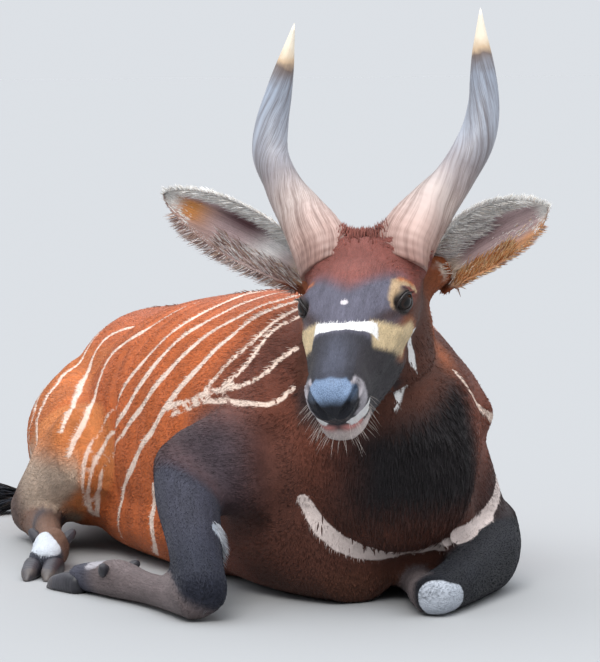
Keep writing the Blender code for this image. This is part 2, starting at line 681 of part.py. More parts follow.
def open_lids(head, sign):
    """Cuts the almond opening of the lids over an eyeball."""
    gaze = unit(np.array(EYE_GAZE) * (sign, 1.0, 1.0)) @ HEAD_AXES
    long_way = unit(HEAD_AXES[1] - gaze * (HEAD_AXES[1] @ gaze))
    short_way = np.cross(gaze, long_way)
    turn = np.linspace(0.0, 2.0 * math.pi, 16, endpoint=False)
    squeeze = 1.0 - 0.25 * np.cos(turn) ** 2
    outline = np.column_stack([LID_OPENING[0] * np.cos(turn), LID_OPENING[1] * np.sin(turn) * squeeze])
    axes = np.stack([long_way, short_way, gaze])
    cut_away(head, prism("opening", outline, 0.004, 0.05, axes, eye_centre(sign)))


def carve_muzzle(head):
    """Cuts the nostrils and the line of the mouth into the head."""
    for sign in (1.0, -1.0):
        cut_away(head, new_object("nostril", *round_loft(in_head_frame(NOSTRIL, sign), 7, 8, UP, 0.004)))
    rows = np.concatenate([mirrored(MOUTH), np.array([[0.0, 0.384, -0.104]]), np.array(MOUTH)[::-1]])
    rows = np.column_stack([from_head(rows), np.full(len(rows), MOUTH_GROOVE)])
    cut_away(head, new_object("mouth", *round_loft(rows, 18, 6, HEAD_AXES[2], 0.002)))


def claws(rows, name):
    """The two hooves of a foot."""
    rows = np.asarray(rows, float)
    end = rows[-1, :3]
    ahead = unit((end - rows[-2, :3]) * (1.0, 1.0, 0.0))
    side = np.cross(ahead, UP)
    made = []
    for label, sign in (("a", 1.0), ("b", -1.0)):
        at = np.array([-0.012, 0.010, 0.030, 0.050, HOOF_LENGTH - 0.008])
        middle = end + side * sign * (HOOF_WIDTH / 2.0 + 0.0012) + ahead * at[:, None]
        half = np.array([1.0, 1.0, 0.92, 0.72, 0.42]) * HOOF_WIDTH / 2.0
        height = np.array([0.95, 1.0, 0.85, 0.62, 0.36]) * HOOF_HEIGHT / 2.0
        stations = np.column_stack([middle[:, :2], height - 0.003, half, height, height, np.full(len(at), 2.4)])
        hoof = new_object("hoof_" + name + "_" + label, *loft(stations, 5, 8, cap=0.008))
        axes = np.stack([side, ahead, UP])
        outline = [(-0.08, GAP), (0.08, GAP), (0.08, 0.14), (-0.08, 0.14)]
        keep = prism("keep", outline, 0.0, 0.10, axes, end * (1.0, 1.0, 0.0))
        combine(hoof, keep, "INTERSECT")
        bpy.data.objects.remove(keep)
        keep_largest(hoof)
        made.append(hoof)
    return made


def cut_feet(body):
    """Ends each foot at its hooves, and makes these."""
    feet = {
        "fore_right": FOREFOOT_RIGHT,
        "fore_left": FOREFOOT_LEFT,
        "hind_right": HINDFOOT_RIGHT,
        "hind_left": HINDFOOT_LEFT,
    }
    hooves = []
    for name, rows in feet.items():
        hooves += claws(rows, name)
        rows = np.asarray(rows, float)
        ahead = unit((rows[-1, :3] - rows[-2, :3]) * (1.0, 1.0, 0.0))
        outline = [(-0.045, 0.0), (0.045, 0.0), (0.045, 0.09), (-0.045, 0.09)]
        axes = np.stack([np.cross(ahead, UP), ahead, UP])
        height = 0.045 if name == "fore_left" else 0.08
        cut_away(body, prism("end", outline, -0.02, height, axes, rows[-1, :3] * (1.0, 1.0, 0.0)))
    return hooves


def part_legs(body):
    """Parts the legs from the body, each at the elbow or hip and at the knee or hock."""
    reach = (0.022, 0.02)
    hind_reach = (0.030, 0.02)
    cells = {
        "forefoot_right": box_along(FOREFOOT_RIGHT, (-0.05, 0.06), (-0.08, 0.034), reach),
        "forefoot_left": box_along(FOREFOOT_LEFT, (-0.04, 0.04), (-0.08, 0.030), reach),
        "hindfoot_right": box_along(HINDFOOT_RIGHT, (-0.05, 0.06), (-0.08, 0.042), hind_reach),
        "hindfoot_left": box_along(HINDFOOT_LEFT, (-0.06, 0.05), (-0.08, 0.040), hind_reach),
        "foreleg_right": box_along(FOREARM_RIGHT, (-0.058, 0.16), (-0.16, 0.12), (-0.070, 0.07)),
        "foreleg_left": box_along(FOREARM_LEFT, (-0.16, 0.050), (-0.16, 0.062), (-0.062, 0.07)),
    }
    legs = [part_off(body, block, name) for name, block in cells.items()]
    for name, sign in (("hindleg_right", -1.0), ("hindleg_left", 1.0)):
        outline = np.array([(0.235, 0.335), (0.50, 0.335), (0.50, 0.93), (0.145, 0.93), (0.185, 0.62)])
        legs.append(part_off(body, prism("cell", outline * (sign, 1.0), -0.05, 0.345), name))
    return legs


def lock(name, root, lie, out, length, width, bend):
    """Flat, tapered lock of hair: lens-shaped rings along a line that bends back towards the way it lies."""
    side = unit(np.cross(lie, out))
    share = np.array([0.0, 0.35, 0.7])[:, None]
    centre = root + lie * length * share + out * bend * length * (share - share**2)
    ahead = unit(np.gradient(centre, axis=0))
    over = np.cross(side, ahead)
    across = side * width / 2.0 * (1.0 - 0.45 * share**2)
    thick = over * LOCK_THICKNESS / 2.0 * (1.0 - 0.5 * share)
    rings = np.stack([centre + across, centre + thick, centre - across, centre - thick], axis=1)
    tip = root + lie * length
    return new_object(name, *tube(rings, [centre[0] - ahead[0] * 0.001, tip]))


def add_locks(obj, locks):
    """Joins the locks to the node that they grow from."""
    bundle = bpy.data.collections.new(obj.name + "_locks")
    for piece in locks:
        bundle.objects.link(piece)
    modifier = obj.modifiers.new("locks", "BOOLEAN")
    modifier.operation = "UNION"
    modifier.operand_type = "COLLECTION"
    modifier.collection = bundle
    modifier.solver = "EXACT"
    apply_modifiers(obj)
    for piece in locks:
        bpy.data.objects.remove(piece)
    bpy.data.collections.remove(bundle)
    clean(obj)


def crest_locks():
    """Short locks in a row along the spine, each lying back over the next."""
    draw = np.random.default_rng(7)
    line = curve_through(SPINE, 200)
    made = []
    for index, y in enumerate(np.linspace(*CREST_REACH, CREST_LOCKS)):
        station = line[np.abs(line[:, 1] - y).argmin()]
        sway = 0.006 * (index % 2 * 2 - 1) + draw.uniform(-0.002, 0.002)
        rise = CREST_RISE * draw.uniform(0.85, 1.15)
        length = CREST_LENGTH * draw.uniform(0.85, 1.1) * (1.0 - 0.35 * (y / CREST_REACH[1]) ** 4)
        lie = unit([sway * 8.0, math.cos(rise), math.sin(rise)])
        out = unit(np.cross(np.cross(lie, UP), lie))
        root = np.array([sway, y, station[2] + station[4]]) - lie * LOCK_ROOT
        made.append(lock("lock", root, lie, out, length + LOCK_ROOT, CREST_WIDTH, 0.35))
    return made


def tuft_locks():
    """Locks that fan out from the tail's end, all round its core."""
    draw = np.random.default_rng(11)
    line = curve_through(TUFT_CORE, 60)
    made = []
    for index in range(TUFT_LOCKS):
        share = (index + 0.5) / TUFT_LOCKS
        at = int(8 + 44 * share)
        ahead = unit(line[at + 1, :3] - line[at - 1, :3])
        side = unit(np.cross(ahead, UP))
        turn = 2.4 * index
        spread = side * math.cos(turn) + np.cross(side, ahead) * max(math.sin(turn), -0.35)
        lie = unit(ahead + 0.34 * spread * draw.uniform(0.7, 1.2))
        out = unit(spread - lie * (spread @ lie))
        root = line[at, :3] + out * 0.004
        length = TUFT_LENGTH * draw.uniform(0.8, 1.15) * (1.1 - 0.35 * share)
        made.append(lock("lock", root, lie, out, length, TUFT_WIDTH, 0.12))
    return made


def finish(obj, kind):
    """Gives an object its material, and shades it smooth except at sharp edges."""
    colour, roughness = FINISHES[kind]
    made = bpy.data.materials.new(obj.name)
    made.use_nodes = True
    shader = made.node_tree.nodes["Principled BSDF"]
    shader.inputs["Base Color"].default_value = (*colour, 1.0)
    shader.inputs["Roughness"].default_value = roughness
    obj.data.materials.clear()
    obj.data.materials.append(made)
    obj.data.shade_smooth()
    obj.data.set_sharp_from_angle(angle=math.radians(40.0))


def main():
    for old in list(bpy.data.objects):
        bpy.data.objects.remove(old)
    body = flesh()
    hooves = cut_feet(body)
    outline = [(-0.050, 0.03), (-0.050, 0.20), (0.48, 0.20), (0.48, -0.205), (0.045, -0.205)]
    face_plane = np.stack([HEAD_AXES[1], HEAD_AXES[2], HEAD_AXES[0]])
    head = part_off(body, prism("cell", outline, -0.16, 0.16, face_plane, POLL), "head")
    coats = part_legs(body)
    horns, ears, eyes = [], [], []
    for side_name, sign in (("left", 1.0), ("right", -1.0)):
        eyes.append(new_object("eye_" + side_name, *ball(eye_centre(sign), EYE_RADIUS, 8, 12)))
        open_lids(head, sign)
        fit_against(head, eyes[-1])
        horns.append(horn(sign, "horn_" + side_name))
        fit_against(horns[-1], head)
        ears.append(ear(side_name, sign))
        fit_against(ears[-1], head)
        fit_against(ears[-1], horns[-1])
    carve_muzzle(head)
    neck_cell = prism("cell", [(-0.60, -0.02), (-0.02, 0.30), (0.40, 0.90), (-0.60, 0.90)], -0.30, 0.30,
                      np.array([[0.0, 1.0, 0.0], [0.0, 0.0, 1.0], [1.0, 0.0, 0.0]]))
    neck = part_off(body, neck_cell, "neck")
    for obj in ears + horns:
        fit_against(obj, neck)
    tail = new_object("tail", *loft(TAIL, 14, 8, np.array([1.0, 0.0, 0.0]), 0.006))
    add_locks(body, crest_locks())
    fit_against(tail, body)
    tuft = new_object("tail_tuft", *loft(TUFT_CORE, 9, 8, cap=0.006))
    add_locks(tuft, tuft_locks())
    fit_against(tuft, tail)
    cut_away(tuft, prism("floor", [(-1.0, 0.5), (1.0, 0.5), (1.0, 1.5), (-1.0, 1.5)], -0.5, 0.0))
    groups = [("coat", [body, neck, head, tail] + coats + ears), ("dark_coat", [tuft]), ("horn", horns)]
    groups += [("hoof", hooves), ("eye", eyes)]
    nodes = [obj for kind, objects in groups for obj in objects]
    corners = []
    for obj in nodes:
        clean(obj)
        points = np.empty(len(obj.data.vertices) * 3)
        obj.data.vertices.foreach_get("co", points)
        corners += [points.reshape(-1, 3).min(axis=0), points.reshape(-1, 3).max(axis=0)]
    middle = (np.min(corners, axis=0) + np.max(corners, axis=0)) / 2.0
    for kind, objects in groups:
        for obj in objects:
            obj.data.transform(Matrix.Translation((-middle[0], -middle[1], 0.0)))
            finish(obj, kind)


main()
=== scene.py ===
# %% [markdown]
# # A bongo lying on its chest
# The bongo is a large forest antelope with a chestnut coat, thin white stripes and spiral horns. This
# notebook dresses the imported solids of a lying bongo. The solids give the places and sizes, and stay
# as they are. The skin could be sculpted by hand, but here every shape is worked out from the same
# named stations as the solids, so that both always agree.

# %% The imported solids
import math
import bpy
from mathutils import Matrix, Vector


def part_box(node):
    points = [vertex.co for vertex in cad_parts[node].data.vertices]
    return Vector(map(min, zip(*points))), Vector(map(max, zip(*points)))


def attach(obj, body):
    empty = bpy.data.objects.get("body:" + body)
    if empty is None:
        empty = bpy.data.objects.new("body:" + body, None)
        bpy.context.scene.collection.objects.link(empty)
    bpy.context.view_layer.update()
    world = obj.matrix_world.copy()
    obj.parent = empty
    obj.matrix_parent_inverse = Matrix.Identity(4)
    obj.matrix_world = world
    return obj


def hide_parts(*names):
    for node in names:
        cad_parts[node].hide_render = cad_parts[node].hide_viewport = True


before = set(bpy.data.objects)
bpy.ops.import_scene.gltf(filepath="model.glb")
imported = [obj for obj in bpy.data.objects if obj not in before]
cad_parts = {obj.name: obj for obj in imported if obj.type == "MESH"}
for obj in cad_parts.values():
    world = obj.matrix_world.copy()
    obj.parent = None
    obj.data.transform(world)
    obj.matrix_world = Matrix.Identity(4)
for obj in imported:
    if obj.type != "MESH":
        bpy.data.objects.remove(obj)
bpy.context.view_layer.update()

from types import SimpleNamespace

import bmesh
import bpy
import numpy as np
from mathutils import Vector

# %% [markdown]
# ## Where things are
# A long animal is easiest to describe by lines that run through it: spine, neck, legs, tail. Each
# line is a list of stations, and a station says where the line passes and how wide, high and deep the
# body is there. The head is described in its own directions, so that it can be turned as one thing.

# %% Stations of the body
HEAD_YAW = math.radians(32.0)
HEAD_PITCH = math.radians(25.0)
HEAD_ROLL = math.radians(5.0)
POLL = np.array([-0.051, -0.217, 0.548])
EYE_RADIUS = 0.0200
LID_THICKNESS = 0.0030
EAR_CUP = 0.030
EAR_BOW = 0.010
EAR_THICKNESS = 0.0075
HOOF_LENGTH = 0.066
HOOF_WIDTH = 0.029
HOOF_HEIGHT = 0.034
DEWCLAW_RADII = (0.0095, 0.0090, 0.0065)
UP = np.array([0.0, 0.0, 1.0])
TRUNK = [
    (0.018, -0.245, 0.172, 0.108, 0.118, 0.105, 2.1),
    (0.008, -0.150, 0.200, 0.175, 0.195, 0.142, 2.2),
    (0.000, -0.020, 0.215, 0.214, 0.238, 0.165, 2.3),
    (0.000, 0.130, 0.212, 0.236, 0.240, 0.216, 2.4),
    (0.000, 0.310, 0.210, 0.254, 0.225, 0.217, 2.4),
    (0.000, 0.470, 0.208, 0.250, 0.209, 0.215, 2.2),
    (0.000, 0.620, 0.205, 0.208, 0.180, 0.211, 2.0),
    (0.000, 0.760, 0.205, 0.172, 0.176, 0.195, 2.0),
    (0.000, 0.880, 0.205, 0.145, 0.155, 0.150, 2.0),
    (0.000, 0.950, 0.210, 0.095, 0.110, 0.100, 2.0),
]
BELLY = [
    (0.000, 0.060, 0.095, 0.180, 0.110, 0.105, 2.6),
    (0.000, 0.180, 0.092, 0.226, 0.120, 0.105, 2.9),
    (0.000, 0.330, 0.090, 0.238, 0.125, 0.103, 3.0),
    (0.000, 0.480, 0.090, 0.236, 0.120, 0.103, 2.9),
    (0.000, 0.600, 0.095, 0.205, 0.110, 0.103, 2.6),
]
BRISKET = [
    (-0.045, -0.185, 0.108, 0.088, 0.095, 0.112, 2.3),
    (-0.060, -0.100, 0.104, 0.118, 0.100, 0.110, 2.4),
    (-0.060, 0.010, 0.100, 0.140, 0.110, 0.106, 2.5),
    (-0.030, 0.110, 0.098, 0.170, 0.110, 0.105, 2.6),
]
CHEST_LEFT = [
    (0.075, -0.172, 0.120, 0.078, 0.080, 0.117, 2.2),
    (0.085, -0.090, 0.114, 0.100, 0.095, 0.116, 2.3),
    (0.070, 0.020, 0.106, 0.130, 0.105, 0.109, 2.4),
]
NECK = [
    (0.000, 0.060, 0.270, 0.125, 0.150, 0.150, 2.1),
    (0.000, -0.060, 0.325, 0.124, 0.140, 0.180, 2.1),
    (-0.010, -0.140, 0.395, 0.104, 0.112, 0.150, 2.1),
    (-0.032, -0.195, 0.455, 0.086, 0.094, 0.108, 2.1),
    (-0.060, -0.240, 0.485, 0.074, 0.080, 0.080, 2.1),
]
SPINE = [
    (0.000, -0.020, 0.438, 0.022, 0.014, 0.030, 2.0),
    (0.000, 0.130, 0.442, 0.022, 0.014, 0.030, 2.0),
    (0.000, 0.310, 0.425, 0.022, 0.014, 0.030, 2.0),
    (0.000, 0.470, 0.408, 0.022, 0.013, 0.030, 2.0),
    (0.000, 0.620, 0.378, 0.021, 0.012, 0.030, 2.0),
    (0.000, 0.760, 0.372, 0.020, 0.011, 0.030, 2.0),
    (0.000, 0.880, 0.348, 0.018, 0.010, 0.030, 2.0),
]
SHOULDER = [
    (0.072, 0.040, 0.340, 0.066, 0.080, 0.085, 2.1),
    (0.116, -0.045, 0.290, 0.072, 0.096, 0.100, 2.1),
    (0.146, -0.110, 0.225, 0.066, 0.090, 0.095, 2.1),
]
UPPER_ARM_RIGHT = [
    (-0.160, -0.115, 0.210, 0.068, 0.088, 0.085, 2.1),
    (-0.205, -0.050, 0.200, 0.066, 0.086, 0.080, 2.1),
    (-0.246, 0.015, 0.192, 0.052, 0.062, 0.062, 2.1),
]
UPPER_ARM_LEFT = [
    (0.136, -0.115, 0.194, 0.060, 0.074, 0.085, 2.1),
    (0.180, -0.084, 0.130, 0.058, 0.056, 0.072, 2.1),
    (0.216, -0.054, 0.094, 0.048, 0.046, 0.058, 2.1),
]
HAUNCH = [
    (0.090, 0.890, 0.195, 0.078, 0.100, 0.115, 2.1),
    (0.146, 0.760, 0.180, 0.104, 0.098, 0.145, 2.0),
    (0.190, 0.620, 0.170, 0.110, 0.096, 0.148, 2.0),
    (0.230, 0.500, 0.165, 0.092, 0.094, 0.126, 2.0),
    (0.258, 0.420, 0.162, 0.062, 0.074, 0.092, 2.0),
]
FOREARM_RIGHT = [
    (-0.246, 0.015, 0.192, 0.054, 0.062, 0.058, 2.2),
    (-0.268, -0.050, 0.160, 0.053, 0.060, 0.055, 2.2),
    (-0.295, -0.150, 0.110, 0.046, 0.049, 0.046, 2.2),
    (-0.318, -0.235, 0.066, 0.041, 0.041, 0.042, 2.3),
    (-0.326, -0.275, 0.046, 0.040, 0.038, 0.046, 2.4),
]
FOREFOOT_RIGHT = [
    (-0.330, -0.262, 0.036, 0.036, 0.034, 0.038, 2.3),
    (-0.338, -0.190, 0.033, 0.029, 0.028, 0.034, 2.2),
    (-0.350, -0.090, 0.031, 0.025, 0.025, 0.032, 2.1),
    (-0.366, -0.005, 0.033, 0.031, 0.031, 0.036, 2.2),
    (-0.379, 0.040, 0.030, 0.029, 0.026, 0.032, 2.2),
    (-0.392, 0.080, 0.026, 0.030, 0.022, 0.028, 2.3),
]
SHANK_RIGHT = [
    (-0.270, 0.410, 0.185, 0.060, 0.072, 0.082, 2.1),
    (-0.278, 0.490, 0.145, 0.055, 0.068, 0.074, 2.1),
    (-0.284, 0.580, 0.095, 0.045, 0.054, 0.060, 2.1),
    (-0.288, 0.640, 0.062, 0.037, 0.044, 0.054, 2.2),
    (-0.290, 0.680, 0.050, 0.029, 0.032, 0.044, 2.2),
]
HINDFOOT_RIGHT = [
    (-0.282, 0.625, 0.050, 0.036, 0.042, 0.050, 2.2),
    (-0.298, 0.540, 0.046, 0.030, 0.036, 0.042, 2.2),
    (-0.322, 0.450, 0.042, 0.026, 0.029, 0.038, 2.1),
    (-0.346, 0.368, 0.038, 0.026, 0.028, 0.036, 2.1),
    (-0.360, 0.322, 0.037, 0.033, 0.034, 0.040, 2.2),
    (-0.376, 0.288, 0.032, 0.031, 0.028, 0.036, 2.2),
    (-0.394, 0.256, 0.027, 0.031, 0.023, 0.030, 2.3),
]
FOREARM_LEFT = [
    (0.222, -0.054, 0.094, 0.054, 0.050, 0.066, 2.2),
    (0.198, -0.122, 0.070, 0.054, 0.046, 0.070, 2.2),
    (0.126, -0.220, 0.050, 0.044, 0.039, 0.054, 2.2),
    (0.045, -0.306, 0.038, 0.038, 0.033, 0.042, 2.3),
    (0.004, -0.344, 0.034, 0.037, 0.031, 0.038, 2.4),
]
FOREFOOT_LEFT = [
    (0.010, -0.330, 0.034, 0.034, 0.030, 0.038, 2.3),
    (0.022, -0.275, 0.030, 0.029, 0.026, 0.034, 2.2),
    (0.048, -0.190, 0.028, 0.025, 0.023, 0.032, 2.1),
    (0.072, -0.115, 0.029, 0.030, 0.026, 0.032, 2.2),
    (0.084, -0.080, 0.026, 0.029, 0.022, 0.030, 2.2),
    (0.094, -0.048, 0.024, 0.030, 0.019, 0.028, 2.3),
]
SHANK_LEFT = [
    (0.268, 0.430, 0.175, 0.060, 0.070, 0.082, 2.1),
    (0.280, 0.520, 0.135, 0.055, 0.067, 0.074, 2.1),
    (0.290, 0.610, 0.088, 0.045, 0.053, 0.060, 2.1),
    (0.296, 0.675, 0.060, 0.037, 0.043, 0.052, 2.2),
    (0.300, 0.715, 0.048, 0.029, 0.031, 0.042, 2.2),
]
HINDFOOT_LEFT = [
    (0.302, 0.665, 0.048, 0.036, 0.040, 0.048, 2.2),
    (0.312, 0.580, 0.042, 0.030, 0.034, 0.042, 2.2),
    (0.326, 0.480, 0.037, 0.026, 0.028, 0.037, 2.1),
    (0.338, 0.385, 0.035, 0.026, 0.027, 0.036, 2.1),
    (0.345, 0.335, 0.036, 0.032, 0.032, 0.038, 2.2),
    (0.352, 0.298, 0.031, 0.030, 0.027, 0.034, 2.2),
    (0.358, 0.262, 0.027, 0.031, 0.023, 0.030, 2.3),
]
TAIL = [
    (0.000, 0.930, 0.320, 0.034, 0.034, 0.034, 2.0),
    (-0.004, 0.985, 0.285, 0.027, 0.025, 0.026, 2.0),
    (-0.022, 1.022, 0.200, 0.019, 0.018, 0.018, 2.0),
    (-0.058, 1.034, 0.110, 0.016, 0.015, 0.015, 2.0),
    (-0.108, 1.026, 0.046, 0.014, 0.014, 0.014, 2.0),
    (-0.160, 1.014, 0.022, 0.013, 0.013, 0.013, 2.0),
]
TUFT_CORE = [
    (-0.166, 1.013, 0.020, 0.013, 0.013, 0.013, 2.0),
    (-0.205, 1.010, 0.021, 0.014, 0.013, 0.015, 2.0),
    (-0.245, 1.013, 0.019, 0.011, 0.010, 0.013, 2.0),
    (-0.275, 1.018, 0.016, 0.006, 0.006, 0.008, 2.0),
]
DEWCLAWS = [
    (FOREFOOT_RIGHT, 0.021, 0.018),
    (FOREFOOT_LEFT, 0.020, 0.014),
    (HINDFOOT_RIGHT, 0.022, 0.020),
    (HINDFOOT_LEFT, 0.022, 0.020),
]
SKULL = [
    (-0.060, -0.045, -0.130, 0.058, 2.1),
    (-0.020, -0.010, -0.140, 0.074, 2.2),
    (0.030, 0.000, -0.145, 0.083, 2.3),
    (0.080, 0.004, -0.140, 0.088, 2.3),
    (0.125, 0.003, -0.132, 0.086, 2.2),
    (0.168, -0.001, -0.128, 0.077, 2.2),
    (0.215, -0.006, -0.124, 0.064, 2.2),
    (0.267, -0.011, -0.122, 0.054, 2.3),
    (0.314, -0.018, -0.120, 0.048, 2.4),
    (0.348, -0.024, -0.108, 0.046, 2.4),
    (0.367, -0.033, -0.100, 0.039, 2.3),
]
JAW = [
    (0.000, -0.080, -0.165, 0.052, 2.3),
    (0.050, -0.080, -0.180, 0.062, 2.5),
    (0.110, -0.085, -0.177, 0.062, 2.6),
    (0.172, -0.085, -0.170, 0.056, 2.5),
    (0.236, -0.090, -0.160, 0.044, 2.4),
    (0.294, -0.092, -0.150, 0.038, 2.3),
    (0.330, -0.094, -0.145, 0.036, 2.2),
    (0.352, -0.098, -0.140, 0.030, 2.1),
]
PEDICLE = [
    (0.050, 0.026, -0.042, 0.046),
    (0.059, 0.010, -0.020, 0.050),
    (0.068, -0.004, -0.005, 0.047),
    (0.077, -0.018, 0.004, 0.034),
]
EYE_PLACE = (0.0640, 0.132, -0.036)
EYE_GAZE = (0.85, 0.46, 0.12)
EAR_STUB = [(0.050, -0.030, -0.080, 0.036), (0.080, -0.036, -0.086, 0.033), (0.106, -0.040, -0.080, 0.028)]
EAR_ROOT = (0.082, -0.036, -0.092)
EAR_TIPS = {"left": (0.276, 0.000, 0.030), "right": (-0.304, -0.060, 0.066)}
EAR_FACING = {"left": (0.05, 0.90, 0.35), "right": (-0.10, 0.95, 0.10)}
EAR_LEAF = [
    (0.0, 0.034),
    (0.22, 0.040),
    (0.44, 0.048),
    (0.64, 0.046),
    (0.82, 0.036),
    (0.94, 0.020),
    (1.0, 0.006),
]
NOSTRIL = [
    (0.012, 0.385, -0.079, 0.0035),
    (0.021, 0.382, -0.067, 0.0060),
    (0.030, 0.373, -0.055, 0.0058),
    (0.038, 0.356, -0.047, 0.0035),
]
MOUTH = [(0.048, 0.262, -0.110), (0.046, 0.308, -0.108), (0.040, 0.348, -0.105), (0.020, 0.376, -0.104)]
HORN = [
    (0.052, 0.022, -0.032, 0.045),
    (0.068, -0.006, -0.004, 0.045),
    (0.098, -0.046, 0.022, 0.0375),
    (0.132, -0.090, 0.050, 0.0295),
    (0.157, -0.132, 0.083, 0.0265),
    (0.161, -0.166, 0.122, 0.0240),
    (0.156, -0.190, 0.160, 0.0205),
    (0.150, -0.206, 0.195, 0.0145),
    (0.146, -0.216, 0.222, 0.0085),
    (0.143, -0.223, 0.244, 0.0040),
]
HORN_LEAN = 0.36
HORN_TWIST = math.radians(230.0)
HORN_KEEL = 0.20

# %% [markdown]
# ## Directions of the head
# The head is turned to the animal's right and tipped down. Three directions of length one, its left
# side, ahead along the face and up from the face, turn any place on the head into a place in the
# world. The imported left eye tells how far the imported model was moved, so that both fit.

# %% Head directions and helpers
def unit(vectors):
    """Vectors scaled to length one."""
    vectors = np.asarray(vectors, float)
    return vectors / np.maximum(np.linalg.norm(vectors, axis=-1, keepdims=True), 1e-12)


def head_axes():
    """The head's side, ahead and up: level directions turned by the yaw, then the pitch, then the roll."""
    level = np.array([-math.sin(HEAD_YAW), -math.cos(HEAD_YAW), 0.0])
    side = np.array([math.cos(HEAD_YAW), -math.sin(HEAD_YAW), 0.0])
    ahead = level * math.cos(HEAD_PITCH) - UP * math.sin(HEAD_PITCH)
    over = level * math.sin(HEAD_PITCH) + UP * math.cos(HEAD_PITCH)
    first = side * math.cos(HEAD_ROLL) + over * math.sin(HEAD_ROLL)
    last = over * math.cos(HEAD_ROLL) - side * math.sin(HEAD_ROLL)
    return np.stack([first, ahead, last])


HEAD_AXES = head_axes()


def from_head(places):
    """Places in the head's own frame, in the body's frame: the poll plus each share of the directions."""
    return POLL + np.asarray(places, float) @ HEAD_AXES


def to_head(points):
    """Places in the body's frame, in the head's own frame."""
    return (points - POLL) @ HEAD_AXES.T


def soft(low, high, value):
    """Smooth step: 0 below low, 1 above high, and 3t^2 - 2t^3 between them."""
    t = np.clip((value - low) / (high - low), 0.0, 1.0)
    return t * t * (3.0 - 2.0 * t)


def eye_centre(sign):
    """Middle of an eyeball."""
    return from_head(np.array(EYE_PLACE) * (sign, 1.0, 1.0))


corners = np.array([list(v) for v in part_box("eye_left")])
SHIFT = corners.mean(axis=0) - eye_centre(1.0)
print("model moved by", np.round(SHIFT, 4))

# %% [markdown]
# ## Camera, light and floor
# The camera stands low, ahead of the animal and to its right, far enough away that near and far parts
# keep almost the same scale. A pale sky that is brighter overhead and one soft sun, ahead and to the
# right, round the form. The floor's tone is worked out from the light that falls on it, so that floor
# and sky meet without an edge and only the shadow shows where the body rests.

# %% Camera
def add_camera(place, azimuth, elevation, lens):
    """A camera at a place, looking back along the direction that the two angles give."""
    a, e = math.radians(azimuth), math.radians(elevation)
    back = Vector((math.sin(a) * math.cos(e), -math.cos(a) * math.cos(e), math.sin(e)))
    camera = bpy.data.objects.new("camera", bpy.data.cameras.new("camera"))
    bpy.context.scene.collection.objects.link(camera)
    camera.location = place
    camera.rotation_mode = "QUATERNION"
    camera.rotation_quaternion = (-back).to_track_quat("-Z", "Y")
    camera.data.lens = lens
    bpy.context.scene.camera = camera
    return camera


FOCAL_PIXELS = 3878.0
add_camera(Vector(np.array([-2.279, -5.480, 0.888]) + SHIFT), -22.0, 4.77, FOCAL_PIXELS * 36.0 / 662.0)
print("camera lens", round(bpy.context.scene.camera.data.lens, 1), "mm")

# %% Light and floor
def add_sun(name, place, power, spread, colour):
    """A soft far light that shines from a place towards the origin; returns what it adds to a level floor."""
    lamp = bpy.data.objects.new(name, bpy.data.lights.new(name, "SUN"))
    bpy.context.scene.collection.objects.link(lamp)
    lamp.rotation_euler = (-Vector(place)).to_track_quat("-Z", "Y").to_euler()
    lamp.data.energy = power
    lamp.data.angle = math.radians(spread)
    lamp.data.color = colour
    return np.array(colour) * power * Vector(place).normalized().z / math.pi


SKY, OVERHEAD = np.array([0.72, 0.75, 0.79]), 2.0
OVERHEAD_FROM, OVERHEAD_TO = 0.45, 0.80
heights = np.linspace(0.0, 1.0, 400)
rise = np.clip((heights - OVERHEAD_FROM) / (OVERHEAD_TO - OVERHEAD_FROM), 0.0, 1.0)
rise = rise * rise * (3.0 - 2.0 * rise)
floor_light = SKY * (1.0 + 2.0 * OVERHEAD * float((rise * heights).mean()))
floor_light = floor_light + add_sun("key", (-1.6, -2.2, 3.2), 1.5, 28.0, (1.0, 0.97, 0.92))
world = bpy.data.worlds.new("studio")
world.use_nodes = True
world.node_tree.nodes["Background"].inputs["Color"].default_value = (*SKY, 1.0)
sky_place = world.node_tree.nodes.new("ShaderNodeTexCoord")
sky_parts = world.node_tree.nodes.new("ShaderNodeSeparateXYZ")
sky_rise = world.node_tree.nodes.new("ShaderNodeMapRange")
sky_rise.interpolation_type = "SMOOTHSTEP"
for socket, value in zip(sky_rise.inputs[1:5], (OVERHEAD_FROM, OVERHEAD_TO, 1.0, 1.0 + OVERHEAD)):
    socket.default_value = value
world.node_tree.links.new(sky_place.outputs["Generated"], sky_parts.inputs[0])
world.node_tree.links.new(sky_parts.outputs["Z"], sky_rise.inputs[0])
world.node_tree.links.new(sky_rise.outputs[0], world.node_tree.nodes["Background"].inputs["Strength"])
bpy.context.scene.world = world
bpy.context.scene.view_settings.view_transform = "Standard"

floor_mesh = bpy.data.meshes.new("floor")
floor_mesh.from_pydata([(-40, -40, 0), (40, -40, 0), (40, 40, 0), (-40, 40, 0)], [], [(0, 1, 2, 3)])
floor = bpy.data.objects.new("floor", floor_mesh)
bpy.context.scene.collection.objects.link(floor)
paper = bpy.data.materials.new("pale_floor")
paper.use_nodes = True
paper.node_tree.nodes["Principled BSDF"].inputs["Base Color"].default_value = (*(SKY / floor_light), 1.0)
paper.node_tree.nodes["Principled BSDF"].inputs["Roughness"].default_value = 1.0
paper.node_tree.nodes["Principled BSDF"].inputs["Specular IOR Level"].default_value = 0.0
floor.data.materials.append(paper)

# %% [markdown]
# ## Tubes and lofts
# A loft is a surface of two parameters: one runs along a line of stations, the other round it. Points
# on each ring follow a rounded square, so that one formula serves for a flat jaw and a round leg.

